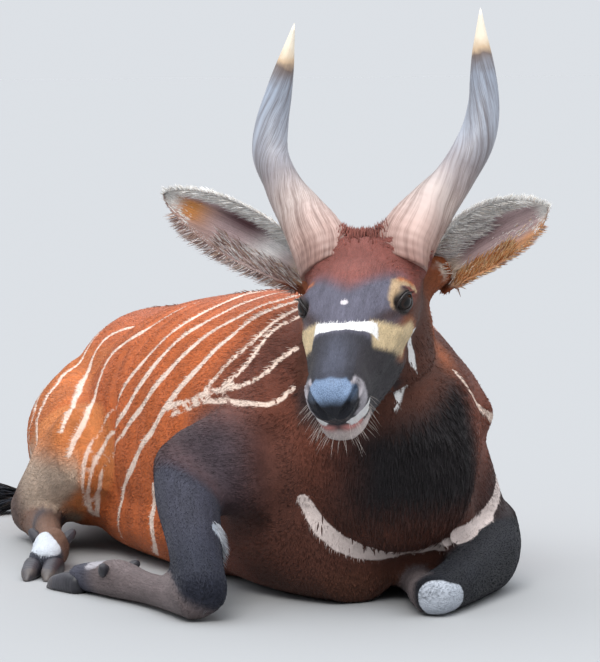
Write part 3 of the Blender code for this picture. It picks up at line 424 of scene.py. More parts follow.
# %% Curves and tubes
def curve_through(rows, count):
    """Smooth curve through the rows: between two rows, the cubic that has their values and slopes."""
    rows = np.asarray(rows, float)
    knots = np.concatenate([[0.0], np.cumsum(np.linalg.norm(np.diff(rows[:, :3], axis=0), axis=1))])
    slope = np.gradient(rows, knots, axis=0)
    at = np.linspace(0.0, knots[-1], count)
    left = np.clip(np.searchsorted(knots, at, side="right") - 1, 0, len(knots) - 2)
    span = (knots[left + 1] - knots[left])[:, None]
    u = (at - knots[left])[:, None] / span
    start, leave = 2 * u**3 - 3 * u**2 + 1, u**3 - 2 * u**2 + u
    return start * rows[left] + leave * span * slope[left] + (1 - start) * rows[left + 1] + (
        u**3 - u**2
    ) * span * slope[left + 1]


def tube(rings, poles):
    """Points and faces of a closed tube: rings of points in order, with a pole beyond each end."""
    count, sides = rings.shape[:2]
    points = np.concatenate([rings.reshape(-1, 3), np.asarray(poles)])
    ring, spoke = np.meshgrid(np.arange(count - 1), np.arange(sides), indexing="ij")
    beyond = (spoke + 1) % sides
    quads = [ring * sides + spoke, ring * sides + beyond]
    quads += [(ring + 1) * sides + beyond, (ring + 1) * sides + spoke]
    faces = np.stack(quads, axis=-1).reshape(-1, 4).tolist()
    spoke = np.arange(sides)
    beyond = (spoke + 1) % sides
    last = (count - 1) * sides
    faces += np.stack([np.full(sides, count * sides), beyond, spoke], axis=-1).tolist()
    faces += np.stack([np.full(sides, count * sides + 1), last + spoke, last + beyond], axis=-1).tolist()
    return points, faces


def loft(rows, rings, sides, up=UP, cap=0.03):
    """Round-ended tube: at angle w a ring reaches width x cos(w)^(2/n) and height x sin(w)^(2/n)."""
    line = curve_through(rows, rings)
    centre, sizes, square = line[:, :3], line[:, 3:6], line[:, 6]
    ahead = unit(np.gradient(centre, axis=0))
    turn = np.radians([68.0, 38.0])[:, None]
    start = centre[0] - ahead[0] * cap * np.sin(turn)
    end = (centre[-1] + ahead[-1] * cap * np.sin(turn))[::-1]
    centre = np.concatenate([start, centre, end])
    sizes = np.concatenate([sizes[0] * np.cos(turn), sizes, sizes[-1] * np.cos(turn[::-1])])
    square = np.concatenate([[square[0]] * 2, square, [square[-1]] * 2])[:, None]
    poles = [line[0, :3] - ahead[0] * cap, line[-1, :3] + ahead[-1] * cap]
    ahead = np.concatenate([[ahead[0]] * 2, ahead, [ahead[-1]] * 2])
    side = unit(np.cross(ahead, up))
    top = np.cross(side, ahead)
    angle = np.linspace(0.0, 2.0 * math.pi, sides, endpoint=False)[None]
    across = np.sign(np.cos(angle)) * np.abs(np.cos(angle)) ** (2.0 / square) * sizes[:, :1]
    rise = np.sign(np.sin(angle)) * np.abs(np.sin(angle)) ** (2.0 / square)
    rise = rise * np.where(np.sin(angle) > 0.0, sizes[:, 1:2], sizes[:, 2:3])
    skin = centre[:, None] + across[..., None] * side[:, None] + rise[..., None] * top[:, None]
    return tube(skin[:, ::-1], poles)


def round_loft(rows, rings, sides, up, cap):
    """Loft of round section through rows of place and radius."""
    rows = np.asarray(rows, float)
    stations = np.column_stack([rows[:, :3], rows[:, 3], rows[:, 3], rows[:, 3], np.full(len(rows), 2.0)])
    return loft(stations, rings, sides, up, cap)


def mirrored(rows):
    """Rows moved to the animal's other side."""
    rows = np.array(rows, float)
    rows[:, 0] = -rows[:, 0]
    return rows


def in_head_frame(rows, sign):
    """Rows of place and more columns in the head's frame, for its left side or its right, in the body's."""
    rows = np.array(rows, float)
    rows[:, 0] *= sign
    rows[:, :3] = from_head(rows[:, :3])
    return rows


def head_rows(rows):
    """Stations along the head, from rows that give its top and bottom."""
    rows = np.asarray(rows, float)
    middle, half = (rows[:, 1] + rows[:, 2]) / 2.0, (rows[:, 1] - rows[:, 2]) / 2.0
    centre = from_head(np.stack([np.zeros(len(rows)), rows[:, 0], middle], axis=1))
    return np.column_stack([centre, rows[:, 3], half, half, rows[:, 4]])


def ball(centre, radius, rings, sides):
    """A round ball: rings at even angles from pole to pole."""
    angle = np.linspace(0.0, math.pi, rings + 2)[1:-1, None]
    turn = np.linspace(0.0, 2.0 * math.pi, sides, endpoint=False)[None]
    shape = [np.sin(angle) * np.cos(turn), np.sin(angle) * np.sin(turn), np.cos(angle) + 0.0 * turn]
    points, faces = tube(np.stack(shape, axis=-1), [[0.0, 0.0, 1.0], [0.0, 0.0, -1.0]])
    return np.asarray(centre) + radius * points, faces


# %% [markdown]
# ## Meshes and their modifiers
# Two short helpers put worked-out points into a Blender mesh and read them back. Working in whole
# arrays keeps the script quick even with a million points.

# %% Mesh helpers
def new_object(name, points, faces):
    """Mesh object made of points and faces, with its faces turned outwards."""
    mesh = bpy.data.meshes.new(name)
    mesh.from_pydata(np.asarray(points).tolist(), [], faces)
    bm = bmesh.new()
    bm.from_mesh(mesh)
    bmesh.ops.recalc_face_normals(bm, faces=bm.faces)
    bm.to_mesh(mesh)
    bm.free()
    obj = bpy.data.objects.new(name, mesh)
    bpy.context.scene.collection.objects.link(obj)
    return obj


def merged(tubes):
    """Points and faces of several tubes as one list."""
    points, faces, start = [], [], 0
    for part_points, part_faces in tubes:
        points.append(part_points)
        faces += [[index + start for index in face] for face in part_faces]
        start += len(part_points)
    return np.concatenate(points), faces


def apply_modifiers(obj):
    """Turns the object's modifiers into its mesh."""
    bpy.context.view_layer.update()
    graph = bpy.context.evaluated_depsgraph_get()
    mesh = bpy.data.meshes.new_from_object(obj.evaluated_get(graph))
    old = obj.data
    obj.modifiers.clear()
    obj.data = mesh
    bpy.data.meshes.remove(old)


def points_of(obj):
    """The object's points as an array."""
    points = np.empty(len(obj.data.vertices) * 3)
    obj.data.vertices.foreach_get("co", points)
    return points.reshape(-1, 3)


def set_points(obj, points):
    """Moves the object's points to these places."""
    obj.data.vertices.foreach_set("co", np.asarray(points, float).ravel())
    obj.data.update()


def normals_of(obj):
    """The object's point normals as an array."""
    normals = np.empty(len(obj.data.vertices) * 3)
    obj.data.vertex_normals.foreach_get("vector", normals)
    return normals.reshape(-1, 3)


def triangles_of(obj):
    """Number of triangles of the object's mesh."""
    obj.data.calc_loop_triangles()
    return len(obj.data.loop_triangles)


def add_attribute(obj, name, kind, values):
    """Stores one value per point under a name that the material can read."""
    field = "color" if kind == "FLOAT_COLOR" else "vector" if kind == "FLOAT_VECTOR" else "value"
    layer = obj.data.attributes.new(name, kind, "POINT")
    layer.data.foreach_set(field, np.asarray(values, np.float32).ravel())


def to_line(points, line):
    """Distance from each point to a chain of straight pieces, in any number of dimensions."""
    best = np.full(len(points), 1e9)
    for start, end in zip(line[:-1], line[1:]):
        step = end - start
        t = np.clip((points - start) @ step / max(step @ step, 1e-12), 0.0, 1.0)
        best = np.minimum(best, np.linalg.norm(points - start - t[:, None] * step, axis=1))
    return best


def inside(points, outline):
    """Signed distance to a flat outline: to its nearest side, positive inside by the count of crossings."""
    outline = np.asarray(outline, float)
    loop = np.concatenate([outline, outline[:1]])
    crossings = np.zeros(len(points), int)
    for (x0, y0), (x1, y1) in zip(loop[:-1], loop[1:]):
        spans = (y0 > points[:, 1]) != (y1 > points[:, 1])
        at = x0 + (points[:, 1] - y0) * (x1 - x0) / (y1 - y0 if y1 != y0 else 1e-12)
        crossings += spans & (points[:, 0] < at)
    return to_line(points, loop) * np.where(crossings % 2 == 1, 1.0, -1.0)

# %% [markdown]
# ## One skin
# The living animal has one skin from nose to hocks, so all the lofts of the body are laid into each
# other and fused: Blender rebuilds their outside as one even net of small squares, and a light
# smoothing rounds the joints between them. Cutting and joining the lofts exactly would leave sharp
# seams. The head is then divided finer, because eyes and nostrils need it and the flanks don't.

# %% Fused body
COAT_DEPTH = 0.0045


SHORT_PEDICLE = np.array(PEDICLE)[:3] * (1.0, 1.0, 1.0, 0.93)


def body_tubes():
    """Every loft of the body but ears and tail."""
    limbs = [UPPER_ARM_RIGHT, UPPER_ARM_LEFT, FOREARM_RIGHT, FOREARM_LEFT, SHANK_RIGHT, SHANK_LEFT]
    limbs += [FOREFOOT_RIGHT, FOREFOOT_LEFT, HINDFOOT_RIGHT, HINDFOOT_LEFT]
    limbs += [SHOULDER, mirrored(SHOULDER), HAUNCH, mirrored(HAUNCH), BELLY, BRISKET, CHEST_LEFT]
    tubes = [loft(TRUNK, 60, 56, cap=0.045), loft(NECK, 36, 36, cap=0.05), loft(SPINE, 40, 12, cap=0.03)]
    tubes += [loft(rows, 40, 28, cap=0.022) for rows in limbs]
    tubes += [loft(head_rows(SKULL), 40, 36, HEAD_AXES[2], 0.016)]
    tubes += [loft(head_rows(JAW), 40, 36, HEAD_AXES[2], 0.012)]
    for sign in (1.0, -1.0):
        tubes.append(round_loft(in_head_frame(EAR_STUB, sign), 12, 20, HEAD_AXES[1], 0.012))
        tubes.append(round_loft(in_head_frame(SHORT_PEDICLE, sign), 12, 24, HEAD_AXES[1], 0.012))
        tubes.append(ball(eye_centre(sign), EYE_RADIUS + LID_THICKNESS, 18, 28))
    return tubes


SKIN_SQUARE = 0.0090
skin = new_object("skin", *merged(body_tubes()))
fuse = skin.modifiers.new("fuse", "REMESH")
fuse.mode = "VOXEL"
fuse.voxel_size = SKIN_SQUARE
soften = skin.modifiers.new("soften", "SMOOTH")
soften.factor = 0.5
soften.iterations = 4
apply_modifiers(skin)
print("fused skin:", len(skin.data.polygons), "squares")

# %% Finer head
def refine(obj, wanted, rounds):
    """Divides the wanted squares in four and evens the new points out, by their neighbours' mean."""
    bm = bmesh.new()
    bm.from_mesh(obj.data)
    centres = np.array([face.calc_center_median()[:] for face in bm.faces])
    bm.faces.ensure_lookup_table()
    chosen = [bm.faces[i] for i in np.nonzero(wanted(centres))[0]]
    edges = list({edge for face in chosen for edge in face.edges})
    bmesh.ops.subdivide_edges(bm, edges=edges, cuts=1, use_grid_fill=True)
    points = np.array([vert.co[:] for vert in bm.verts])
    near = np.nonzero(wanted(points))[0]
    bm.verts.ensure_lookup_table()
    verts = [bm.verts[i] for i in near]
    for _ in range(rounds):
        bmesh.ops.smooth_vert(bm, verts=verts, factor=0.5, use_axis_x=True, use_axis_y=True,
                              use_axis_z=True)
    bmesh.ops.triangulate(bm, faces=[face for face in bm.faces if len(face.verts) > 4])
    bm.to_mesh(obj.data)
    bm.free()


def on_head(points):
    """True on the head, ahead of the ears."""
    local = to_head(points)
    return (local[:, 1] > 0.0) & (local[:, 2] > -0.20) & (np.abs(local[:, 0]) < 0.115)


def on_face(points):
    """True round the eyes and on the muzzle."""
    local = to_head(points)
    folded = np.stack([np.abs(local[:, 0]), local[:, 1], local[:, 2]], axis=1)
    eye = np.linalg.norm(folded - np.array(EYE_PLACE), axis=1) < 0.044
    return eye | ((local[:, 1] > 0.290) & (local[:, 2] > -0.130))


def on_details(points):
    """True close round the eyes, the nostrils and the lips."""
    local = to_head(points)
    folded = np.stack([np.abs(local[:, 0]), local[:, 1], local[:, 2]], axis=1)
    eye = np.linalg.norm(folded - np.array(EYE_PLACE), axis=1) < 0.031
    muzzle = ((to_line(folded, np.array(NOSTRIL)[:, :3]) < 0.017)
              | (to_line(folded, np.array(MOUTH)[:, :3]) < 0.007))
    return eye | (muzzle & (folded[:, 1] > 0.30))


refine(skin, on_head, 2)
refine(skin, on_face, 3)
refine(skin, on_details, 2)
print("finer head:", triangles_of(skin), "triangles")

# %% [markdown]
# ## Modelling the face and the folds
# A sculptor would now press and pull the clay. Here each press is a formula: the distance to a line
# or place, turned into a smooth hump, times a depth along the normal. Nostrils, mouth, lids, nose
# pad, cheek bones, the crease before the thigh and the folds of the bent neck are made that way.

# %% Modelling
def hump(distance, reach):
    """Smooth bell: 1 at distance 0, falling as a Gaussian of the given reach."""
    return np.exp(-((distance / reach) ** 2))


RIB_SPACING = 0.052


def shape_face(points):
    """Presses and pulls of the head, as lengths along the normal."""
    local = to_head(points)
    side, ahead, up = np.abs(local[:, 0]), local[:, 1], local[:, 2]
    folded = np.stack([side, ahead, up], axis=1)
    nostril = to_line(folded, curve_through(np.array(NOSTRIL), 12)[:, :3])
    mouth = to_line(folded, np.concatenate([np.array(MOUTH), [(0.0, 0.384, -0.104)]]))
    push = -0.0085 * hump(nostril, 0.0050) + 0.0022 * hump(nostril - 0.0095, 0.0038)
    push += -0.0034 * hump(mouth, 0.0022) + 0.0014 * hump(mouth - 0.0060, 0.0034)
    groove = to_line(folded, np.array([(0.0, 0.383, -0.062), (0.0, 0.386, -0.100)]))
    push += -0.0016 * hump(groove, 0.0016)
    push += 0.0016 * soft(0.336, 0.356, ahead) * soft(-0.098, -0.080, up) * (side < 0.030)
    bridge = to_line(folded, np.array([(0.0, 0.10, 0.0), (0.0, 0.34, -0.022)]))
    push += 0.0022 * hump(bridge, 0.024)
    cheek = to_line(folded, np.array([(0.074, 0.185, -0.062), (0.060, 0.255, -0.078)]))
    push += 0.0034 * hump(cheek, 0.013)
    push += -0.0040 * hump(to_line(folded, np.array([(0.060, 0.225, -0.035), (0.050, 0.300, -0.045)])),
                           0.016)
    push += -0.0030 * hump(to_line(folded, np.array([(0.060, 0.230, -0.105), (0.050, 0.290, -0.100)])),
                           0.015)
    brow = to_line(folded, np.array([(0.060, 0.168, -0.008), (0.076, 0.130, -0.010),
                                     (0.082, 0.098, -0.024)]))
    push += 0.0034 * hump(brow, 0.009)
    tear = to_line(folded, np.array([(0.068, 0.158, -0.040), (0.063, 0.185, -0.050)]))
    push += -0.0022 * hump(tear, 0.0030)
    jowl = np.linalg.norm(local - (-0.078, 0.080, -0.160), axis=1)
    push += -0.0120 * hump(jowl, 0.045)
    return push * (local[:, 1] > -0.06)


def shape_body(points):
    """Presses and pulls of the trunk: creases, the hollow behind the shoulder, ribs and neck folds."""
    folded = points.copy()
    folded[:, 0] = np.abs(folded[:, 0])
    crease = np.array([(0.215, 0.375, 0.330), (0.246, 0.345, 0.262), (0.262, 0.345, 0.190),
                       (0.258, 0.362, 0.120)])
    push = -0.0075 * hump(to_line(folded, crease), 0.013)
    behind = np.array([(0.180, 0.075, 0.340), (0.226, 0.085, 0.270), (0.236, 0.075, 0.190)])
    push += -0.0065 * hump(to_line(folded, behind), 0.022)
    blade = np.array([(0.120, 0.020, 0.420), (0.190, -0.030, 0.330), (0.216, -0.070, 0.260)])
    push += 0.0035 * hump(to_line(folded, blade), 0.026)
    rib = np.sin(2.0 * math.pi * (points[:, 1] + 0.22 * (points[:, 2] - 0.2)) / RIB_SPACING)
    push += 0.0011 * rib * soft(0.10, 0.18, points[:, 1]) * soft(0.46, 0.34, points[:, 1])
    for y, depth in ((-0.105, 0.0030), (-0.150, 0.0034), (-0.188, 0.0030)):
        fold = np.array([(-0.13, y - 0.02, 0.52), (-0.175, y - 0.005, 0.42), (-0.185, y + 0.01, 0.33)])
        push += -depth * hump(to_line(points, fold), 0.008)
    throat = np.array([(0.0, -0.262, 0.320), (0.01, -0.285, 0.255)])
    push += -0.0020 * hump(to_line(points, throat), 0.020)
    return push


def open_eyes(points):
    """Within the almond the skin dips behind the eyeball; round it, it swells to a lid."""
    for sign in (1.0, -1.0):
        centre = eye_centre(sign)
        gaze = unit(np.array(EYE_GAZE) * (sign, 1.0, 1.0)) @ HEAD_AXES
        long_way = unit(HEAD_AXES[1] - gaze * (HEAD_AXES[1] @ gaze))
        short_way = np.cross(gaze, long_way)
        step = points - centre
        reach = np.linalg.norm(step, axis=1)
        x, y, z = step @ long_way, step @ short_way, step @ gaze
        turn = np.arctan2(y / ALMOND[1], x / ALMOND[0])
        q = np.hypot(x / ALMOND[0], y / (ALMOND[1] * (1.0 - 0.18 * np.cos(turn) ** 2)))
        near = (z > 0.002) & (reach < EYE_RADIUS + 0.014)
        socket = EYE_RADIUS - 0.0045
        lid = EYE_RADIUS + 0.0026
        wanted = np.where(q < 1.0, socket, lid - 0.0022 * soft(1.0, 1.5, q))
        share = np.where(q < 1.0, 1.0, soft(2.1, 1.1, q)) * near
        wanted = reach + (wanted - reach) * share
        points = centre + step * (wanted / np.maximum(reach, 1e-9))[:, None]
    return points


ALMOND = (0.0178, 0.0118)
points, normals = points_of(skin), normals_of(skin)
depth = COAT_DEPTH - 0.0022 * soft(-0.05, 0.02, to_head(points)[:, 1]) * on_head(points)
push = shape_face(points) * on_head(points) + shape_body(points) - depth
points = points + normals * push[:, None]
points = open_eyes(points)
points[:, 2] = np.maximum(points[:, 2], 0.0008)
set_points(skin, points)
print("skin modelled, lowest point", round(points[:, 2].min(), 4))

# %% [markdown]
# ## Ears and tail
# An ear is a leaf rolled into a cup. Its outline is a width for each step from root to tip, and the
# cup is a parabola across. The leaf is given a thin wall and then joined to the skin, and the joint
# is evened out so that no line shows where the ear begins.

# %% Ear leaves
def ear_frame(side_name, sign):
    """Root, axis, facing, across and length of an ear."""
    root = np.array(EAR_ROOT) * (sign, 1.0, 1.0)
    tip = np.array(EAR_TIPS[side_name])
    axis = unit(tip - root)
    facing = np.array(EAR_FACING[side_name])
    facing = unit(facing - axis * (facing @ axis))
    return root, axis, facing, np.cross(axis, facing), np.linalg.norm(tip - root)


def ear_place(side_name, sign, t, v, lift):
    """Place on an ear at t from root to tip and v from edge to edge, lifted off its hollow side."""
    root, axis, facing, across, length = ear_frame(side_name, sign)
    rows = np.array(EAR_LEAF)
    leaf = np.interp(t, rows[:, 0], rows[:, 1])
    knots = np.linspace(0.0, 1.0, 60)
    smooth = np.convolve(np.pad(np.interp(knots, rows[:, 0], rows[:, 1]), 4, "edge"), np.ones(9) / 9.0,
                         "valid")
    leaf = np.where(t > 0.9, leaf, np.interp(t, knots, smooth)) - 0.0015
    cup = (EAR_CUP * (1.0 - 0.75 * t) + 0.003) * (1.0 - v**2)
    curl = 0.006 * np.abs(v) ** 6 * np.sin(math.pi * t)
    ripple = 0.0016 * np.sin(9.0 * t + 3.0 * v) * np.abs(v) ** 3
    bow = sign * EAR_BOW * np.sin(math.pi * t)
    middle = root + axis * (length * t)[..., None] + across * (bow + leaf * v)[..., None]
    return middle + facing * (curl + ripple - cup + lift)[..., None]


def ear_tube(side_name, sign):
    """Closed leaf: the back from edge to edge, then the hollow side back again."""
    t = np.linspace(0.0, 1.0, 54)[:, None] * np.ones((1, 28))
    v = np.sin(np.linspace(-1.0, 1.0, 28) * math.pi / 2.0)[None] * np.ones((54, 1))
    wall = EAR_THICKNESS * (1.0 - 0.5 * t) * (1.0 - 0.62 * v**2) * 0.8
    back = ear_place(side_name, sign, t, v, 0.0 * t)
    front = ear_place(side_name, sign, t, v * 0.985, wall)
    rings = from_head(np.concatenate([back, front[:, ::-1]], axis=1))
    return tube(rings, [rings[0].mean(axis=0), rings[-1].mean(axis=0)])


def join(obj, other):
    """Joins another closed mesh to obj and removes it."""
    modifier = obj.modifiers.new("join", "BOOLEAN")
    modifier.operation = "UNION"
    modifier.solver = "MANIFOLD"
    modifier.object = other
    apply_modifiers(obj)
    bpy.data.objects.remove(other)


def even_out(obj, share, rounds):
    """Moves the points of a share above 0 to their neighbours' mean, a few times."""
    bm = bmesh.new()
    bm.from_mesh(obj.data)
    bm.verts.ensure_lookup_table()
    verts = [bm.verts[i] for i in np.nonzero(share)[0]]
    for _ in range(rounds):
        bmesh.ops.smooth_vert(bm, verts=verts, factor=0.5, use_axis_x=True, use_axis_y=True,
                              use_axis_z=True)
    bm.to_mesh(obj.data)
    bm.free()


before = len(skin.data.polygons)
for side_name, sign in (("left", 1.0), ("right", -1.0)):
    join(skin, new_object("ear", *ear_tube(side_name, sign)))
tail_rows = np.array(TAIL) - (0.0, 0.0, 0.0, 0.002, 0.002, 0.002, 0.0)
join(skin, new_object("tail", *loft(tail_rows, 70, 18, np.array([1.0, 0.0, 0.0]), 0.006)))
print("joined ears and tail:", before, "->", len(skin.data.polygons), "faces")
points = points_of(skin)
joint = np.zeros(len(points), bool)
for sign in (1.0, -1.0):
    root = from_head(np.array(EAR_ROOT) * (sign, 1.0, 1.0))
    joint |= np.linalg.norm(points - root, axis=1) < 0.042
joint |= np.linalg.norm(points - np.array(TAIL[0][:3]), axis=1) < 0.050
even_out(skin, joint, 5)
points = points_of(skin)
points[:, 2] = np.maximum(points[:, 2], 0.0008)
set_points(skin, points)
print("skin:", triangles_of(skin), "triangles")

# %% [markdown]
# ## Horns
# A bongo's horn is a tube that rises in an open spiral: it leans out, turns back up, and a blunt keel
# winds once round it. Rings of points are carried along a curve, and each ring's radius swells where
# the keel passes. Faint growth rings are added at the base, where a real horn is rough.

# %% Horn surfaces
HORN_RINGS, HORN_SIDES = 190, 72


def horn_line(sign, count):
    """The horn's middle line and radius, with the lean that the head's turn gives each side."""
    rows = np.array(HORN)
    lean = HORN_LEAN * (rows[:, 1] ** 2 + rows[:, 2] ** 2) * (rows[:, 2] > 0.0)
    rows[:, 0] = rows[:, 0] * sign + lean
    return curve_through(rows, count)


def make_horn(sign, name):
    """Rings along the line; radius x (1 + keel bell + second ridge + growth rings fading to the tip)."""
    line = horn_line(sign, HORN_RINGS)
    centre = from_head(line[:, :3])
    ahead = unit(np.gradient(centre, axis=0))
    side = unit(np.cross(ahead, HEAD_AXES[1]))
    over = np.cross(side, ahead)
    share = np.linspace(0.0, 1.0, HORN_RINGS)[:, None]
    angle = np.linspace(0.0, 2.0 * math.pi, HORN_SIDES, endpoint=False)[None]
    keel = sign * (math.radians(60.0) + HORN_TWIST * share)
    away = np.abs((angle - keel + math.pi) % (2.0 * math.pi) - math.pi)
    back = np.abs((angle - keel + 0.55 * sign) % (2.0 * math.pi) - math.pi)
    swell = HORN_KEEL * np.exp(-((away / 0.42) ** 2)) * (1.0 - 0.6 * share)
    swell = swell + 0.07 * np.exp(-((back / 0.35) ** 2)) * (1.0 - 0.7 * share)
    swell = swell - 0.05 * np.exp(-((np.abs(away - 0.95) / 0.30) ** 2)) * (1.0 - 0.5 * share)
    wave = np.sin(2.0 * math.pi * (share * 34.0 + 2.2 * share**2 + 0.05 * np.cos(2.0 * angle)))
    swell = (swell + 0.010 * wave * np.exp(-share * 5.0) + 0.004 * np.sin(7.0 * angle + 6.0 * share)
             * (1.0 - share))
    radius = line[:, 3:4] * (1.0 + swell) - 0.0008
    reach = np.cos(angle)[..., None] * side[:, None] + np.sin(angle)[..., None] * over[:, None]
    rings = centre[:, None] + radius[..., None] * reach
    poles = [centre[0] - ahead[0] * 0.002, centre[-1] + ahead[-1] * 0.0115]
    obj = new_object(name, *tube(rings, poles))
    along = np.concatenate([np.repeat(share[:, 0], HORN_SIDES), [0.0, 1.0]])
    ridge = np.concatenate([(np.exp(-((away / 0.5) ** 2)) + 0.0 * share).ravel(), [0.0, 0.0]])
    around = np.concatenate([((angle - keel) * sign + 0.0 * share).ravel(), [0.0, 0.0]])
    length = 0.60
    grain = np.stack([np.cos(around), np.sin(around), along * length * 0.9], axis=1)
    add_attribute(obj, "along", "FLOAT", along)
    add_attribute(obj, "ridge", "FLOAT", ridge)
    add_attribute(obj, "grain", "FLOAT_VECTOR", grain)
    return obj


horns = {side: make_horn(sign, "horn_surface_" + side) for side, sign in (("left", 1.0), ("right", -1.0))}
print("horns:", [triangles_of(obj) for obj in horns.values()], "triangles")

# %% [markdown]
# ## Eyes
# A grazing animal's eye is a large dark ball with a clear bulge, the cornea, over a brown iris and a
# level, slot-like pupil. The rims of the lids are wet and black. The ball is a sphere with a shallow
# bulge ahead, and a thin tube follows the almond of the opening.

# %% Eyeballs and lid rims
def eye_directions(sign):
    """Gaze, long way and short way of an eye."""
    gaze = unit(np.array(EYE_GAZE) * (sign, 1.0, 1.0)) @ HEAD_AXES
    long_way = unit(HEAD_AXES[1] - gaze * (HEAD_AXES[1] @ gaze))
    return gaze, long_way, np.cross(gaze, long_way)


def make_eye(sign, name):
    """Ball of rings round the gaze: radius x (1 + 0.04 x bell of the angle from the gaze)."""
    gaze, long_way, short_way = eye_directions(sign)
    angle = np.linspace(0.0, math.pi, 40)[1:-1, None]
    turn = np.linspace(0.0, 2.0 * math.pi, 56, endpoint=False)[None]
    reach = EYE_RADIUS * (0.985 + 0.045 * np.exp(-((angle / 0.55) ** 2))) * np.ones_like(turn)
    local = np.stack([np.sin(angle) * np.cos(turn), np.sin(angle) * np.sin(turn),
                      np.cos(angle) + 0.0 * turn], axis=-1)
    local = local * reach[..., None]
    axes = np.stack([long_way, short_way, gaze])
    rings = eye_centre(sign) + local @ axes
    poles = [eye_centre(sign) + gaze * EYE_RADIUS * 1.03, eye_centre(sign) - gaze * EYE_RADIUS * 0.985]
    obj = new_object(name, *tube(rings, poles))
    place = np.concatenate([local.reshape(-1, 3), [[0.0, 0.0, EYE_RADIUS], [0.0, 0.0, -EYE_RADIUS]]])
    add_attribute(obj, "gaze", "FLOAT_VECTOR", place / EYE_RADIUS)
    return obj


def make_lid_rim(sign, name):
    """Thin tube along the almond, laid on the ball, thicker above than below."""
    gaze, long_way, short_way = eye_directions(sign)
    turn = np.linspace(0.0, 2.0 * math.pi, 120, endpoint=False)
    x = ALMOND[0] * 1.01 * np.cos(turn)
    y = ALMOND[1] * 1.02 * np.sin(turn) * (1.0 - 0.18 * np.cos(turn) ** 2)
    flat = np.stack([x, y], axis=1)
    over = np.sqrt(np.maximum((EYE_RADIUS + 0.0012) ** 2 - (flat**2).sum(axis=1), 0.0))
    line = eye_centre(sign) + x[:, None] * long_way + y[:, None] * short_way + over[:, None] * gaze
    ahead = unit(np.roll(line, -1, axis=0) - np.roll(line, 1, axis=0))
    out = unit(line - eye_centre(sign))
    side = np.cross(ahead, out)
    spoke = np.linspace(0.0, 2.0 * math.pi, 12, endpoint=False)[None]
    upper = (y * (1.0 if (short_way @ HEAD_AXES[2]) > 0 else -1.0) > 0)[:, None]
    thick = np.where(upper, 0.0019, 0.0014)
    ring = (line[:, None] + (thick * np.cos(spoke))[..., None] * side[:, None]
            + (thick * np.sin(spoke))[..., None] * out[:, None])
    count, sides = ring.shape[:2]
    first, second = np.meshgrid(np.arange(count), np.arange(sides), indexing="ij")
    after, beyond = (first + 1) % count, (second + 1) % sides
    quads = [first * sides + second, first * sides + beyond, after * sides + beyond, after * sides + second]
    return new_object(name, ring.reshape(-1, 3), np.stack(quads, axis=-1).reshape(-1, 4).tolist())


eyes = {side: make_eye(sign, "eyeball_" + side) for side, sign in (("left", 1.0), ("right", -1.0))}
rims = {side: make_lid_rim(sign, "lid_rim_" + side) for side, sign in (("left", 1.0), ("right", -1.0))}
print("eyes:", [triangles_of(obj) for obj in eyes.values()])

# %% [markdown]
# ## Hooves
# Each foot ends in two narrow pointed hooves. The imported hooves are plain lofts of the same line, so
# finer ones of the same size take their place.

# %% Hoof surfaces
def make_hooves(rows, name):
    """Two lofts side by side, their height falling from heel to toe, flat where they meet the floor."""
    rows = np.asarray(rows, float)
    end = rows[-1, :3]
    ahead = unit((end - rows[-2, :3]) * (1.0, 1.0, 0.0))
    side = np.cross(ahead, UP)
    made = []
    for label, sign in (("a", 1.0), ("b", -1.0)):
        at = np.array([-0.014, 0.010, 0.030, 0.050, HOOF_LENGTH - 0.008])
        middle = end + side * sign * (HOOF_WIDTH / 2.0 + 0.0012) + ahead * at[:, None]
        half = np.array([1.0, 1.0, 0.92, 0.72, 0.42]) * HOOF_WIDTH / 2.0
        height = np.array([0.95, 1.0, 0.85, 0.62, 0.36]) * HOOF_HEIGHT / 2.0
        stations = np.column_stack([middle[:, :2], height - 0.003, half, height, height,
                                    np.full(len(at), 2.4)])
        points, faces = loft(stations, 34, 28, cap=0.008)
        heel = (points - end) @ ahead
        ridge = 0.00035 * np.sin(heel * 900.0) * soft(0.05, 0.0, heel)
        points = points + (points - (end + ahead * heel[:, None])) * (ridge / HOOF_WIDTH)[:, None]
        points[:, 2] = np.maximum(points[:, 2], 0.0006)
        obj = new_object("hoof_surface_" + name + "_" + label, points, faces)
        add_attribute(obj, "along", "FLOAT", heel / HOOF_LENGTH)
        made.append((obj, ["hoof_" + name + "_" + label]))
    return made


def make_dewclaws():
    """The two small false hooves behind each fetlock: round lofts that end in a blunt tip."""
    tubes = []
    for rows, spread, height in DEWCLAWS:
        rows = np.asarray(rows, float)
        fetlock = rows[-3, :3]
        ahead = unit(rows[-1, :3] - fetlock)
        side = unit(np.cross(ahead, UP))
        for sign in (1.0, -1.0):
            root = fetlock + side * sign * spread + UP * height * 0.5
            tip = fetlock + side * sign * spread * 1.5 + UP * height - ahead * 0.010
            stations = np.column_stack([np.stack([root, (root + tip) / 2.0, tip]), DEWCLAW_RADII])
            tubes.append(round_loft(stations, 14, 18, ahead, 0.005))
    obj = new_object("false_hooves", *merged(tubes))
    add_attribute(obj, "along", "FLOAT", np.tile(np.linspace(0.0, 0.6, 9),
                                                 len(obj.data.vertices) // 9 + 1)[: len(obj.data.vertices)])
    return obj


feet = {"fore_right": FOREFOOT_RIGHT, "fore_left": FOREFOOT_LEFT, "hind_right": HINDFOOT_RIGHT,
        "hind_left": HINDFOOT_LEFT}
hooves = [pair for name, rows in feet.items() for pair in make_hooves(rows, name)]
hooves.append((make_dewclaws(), []))
print("hooves:", len(hooves))

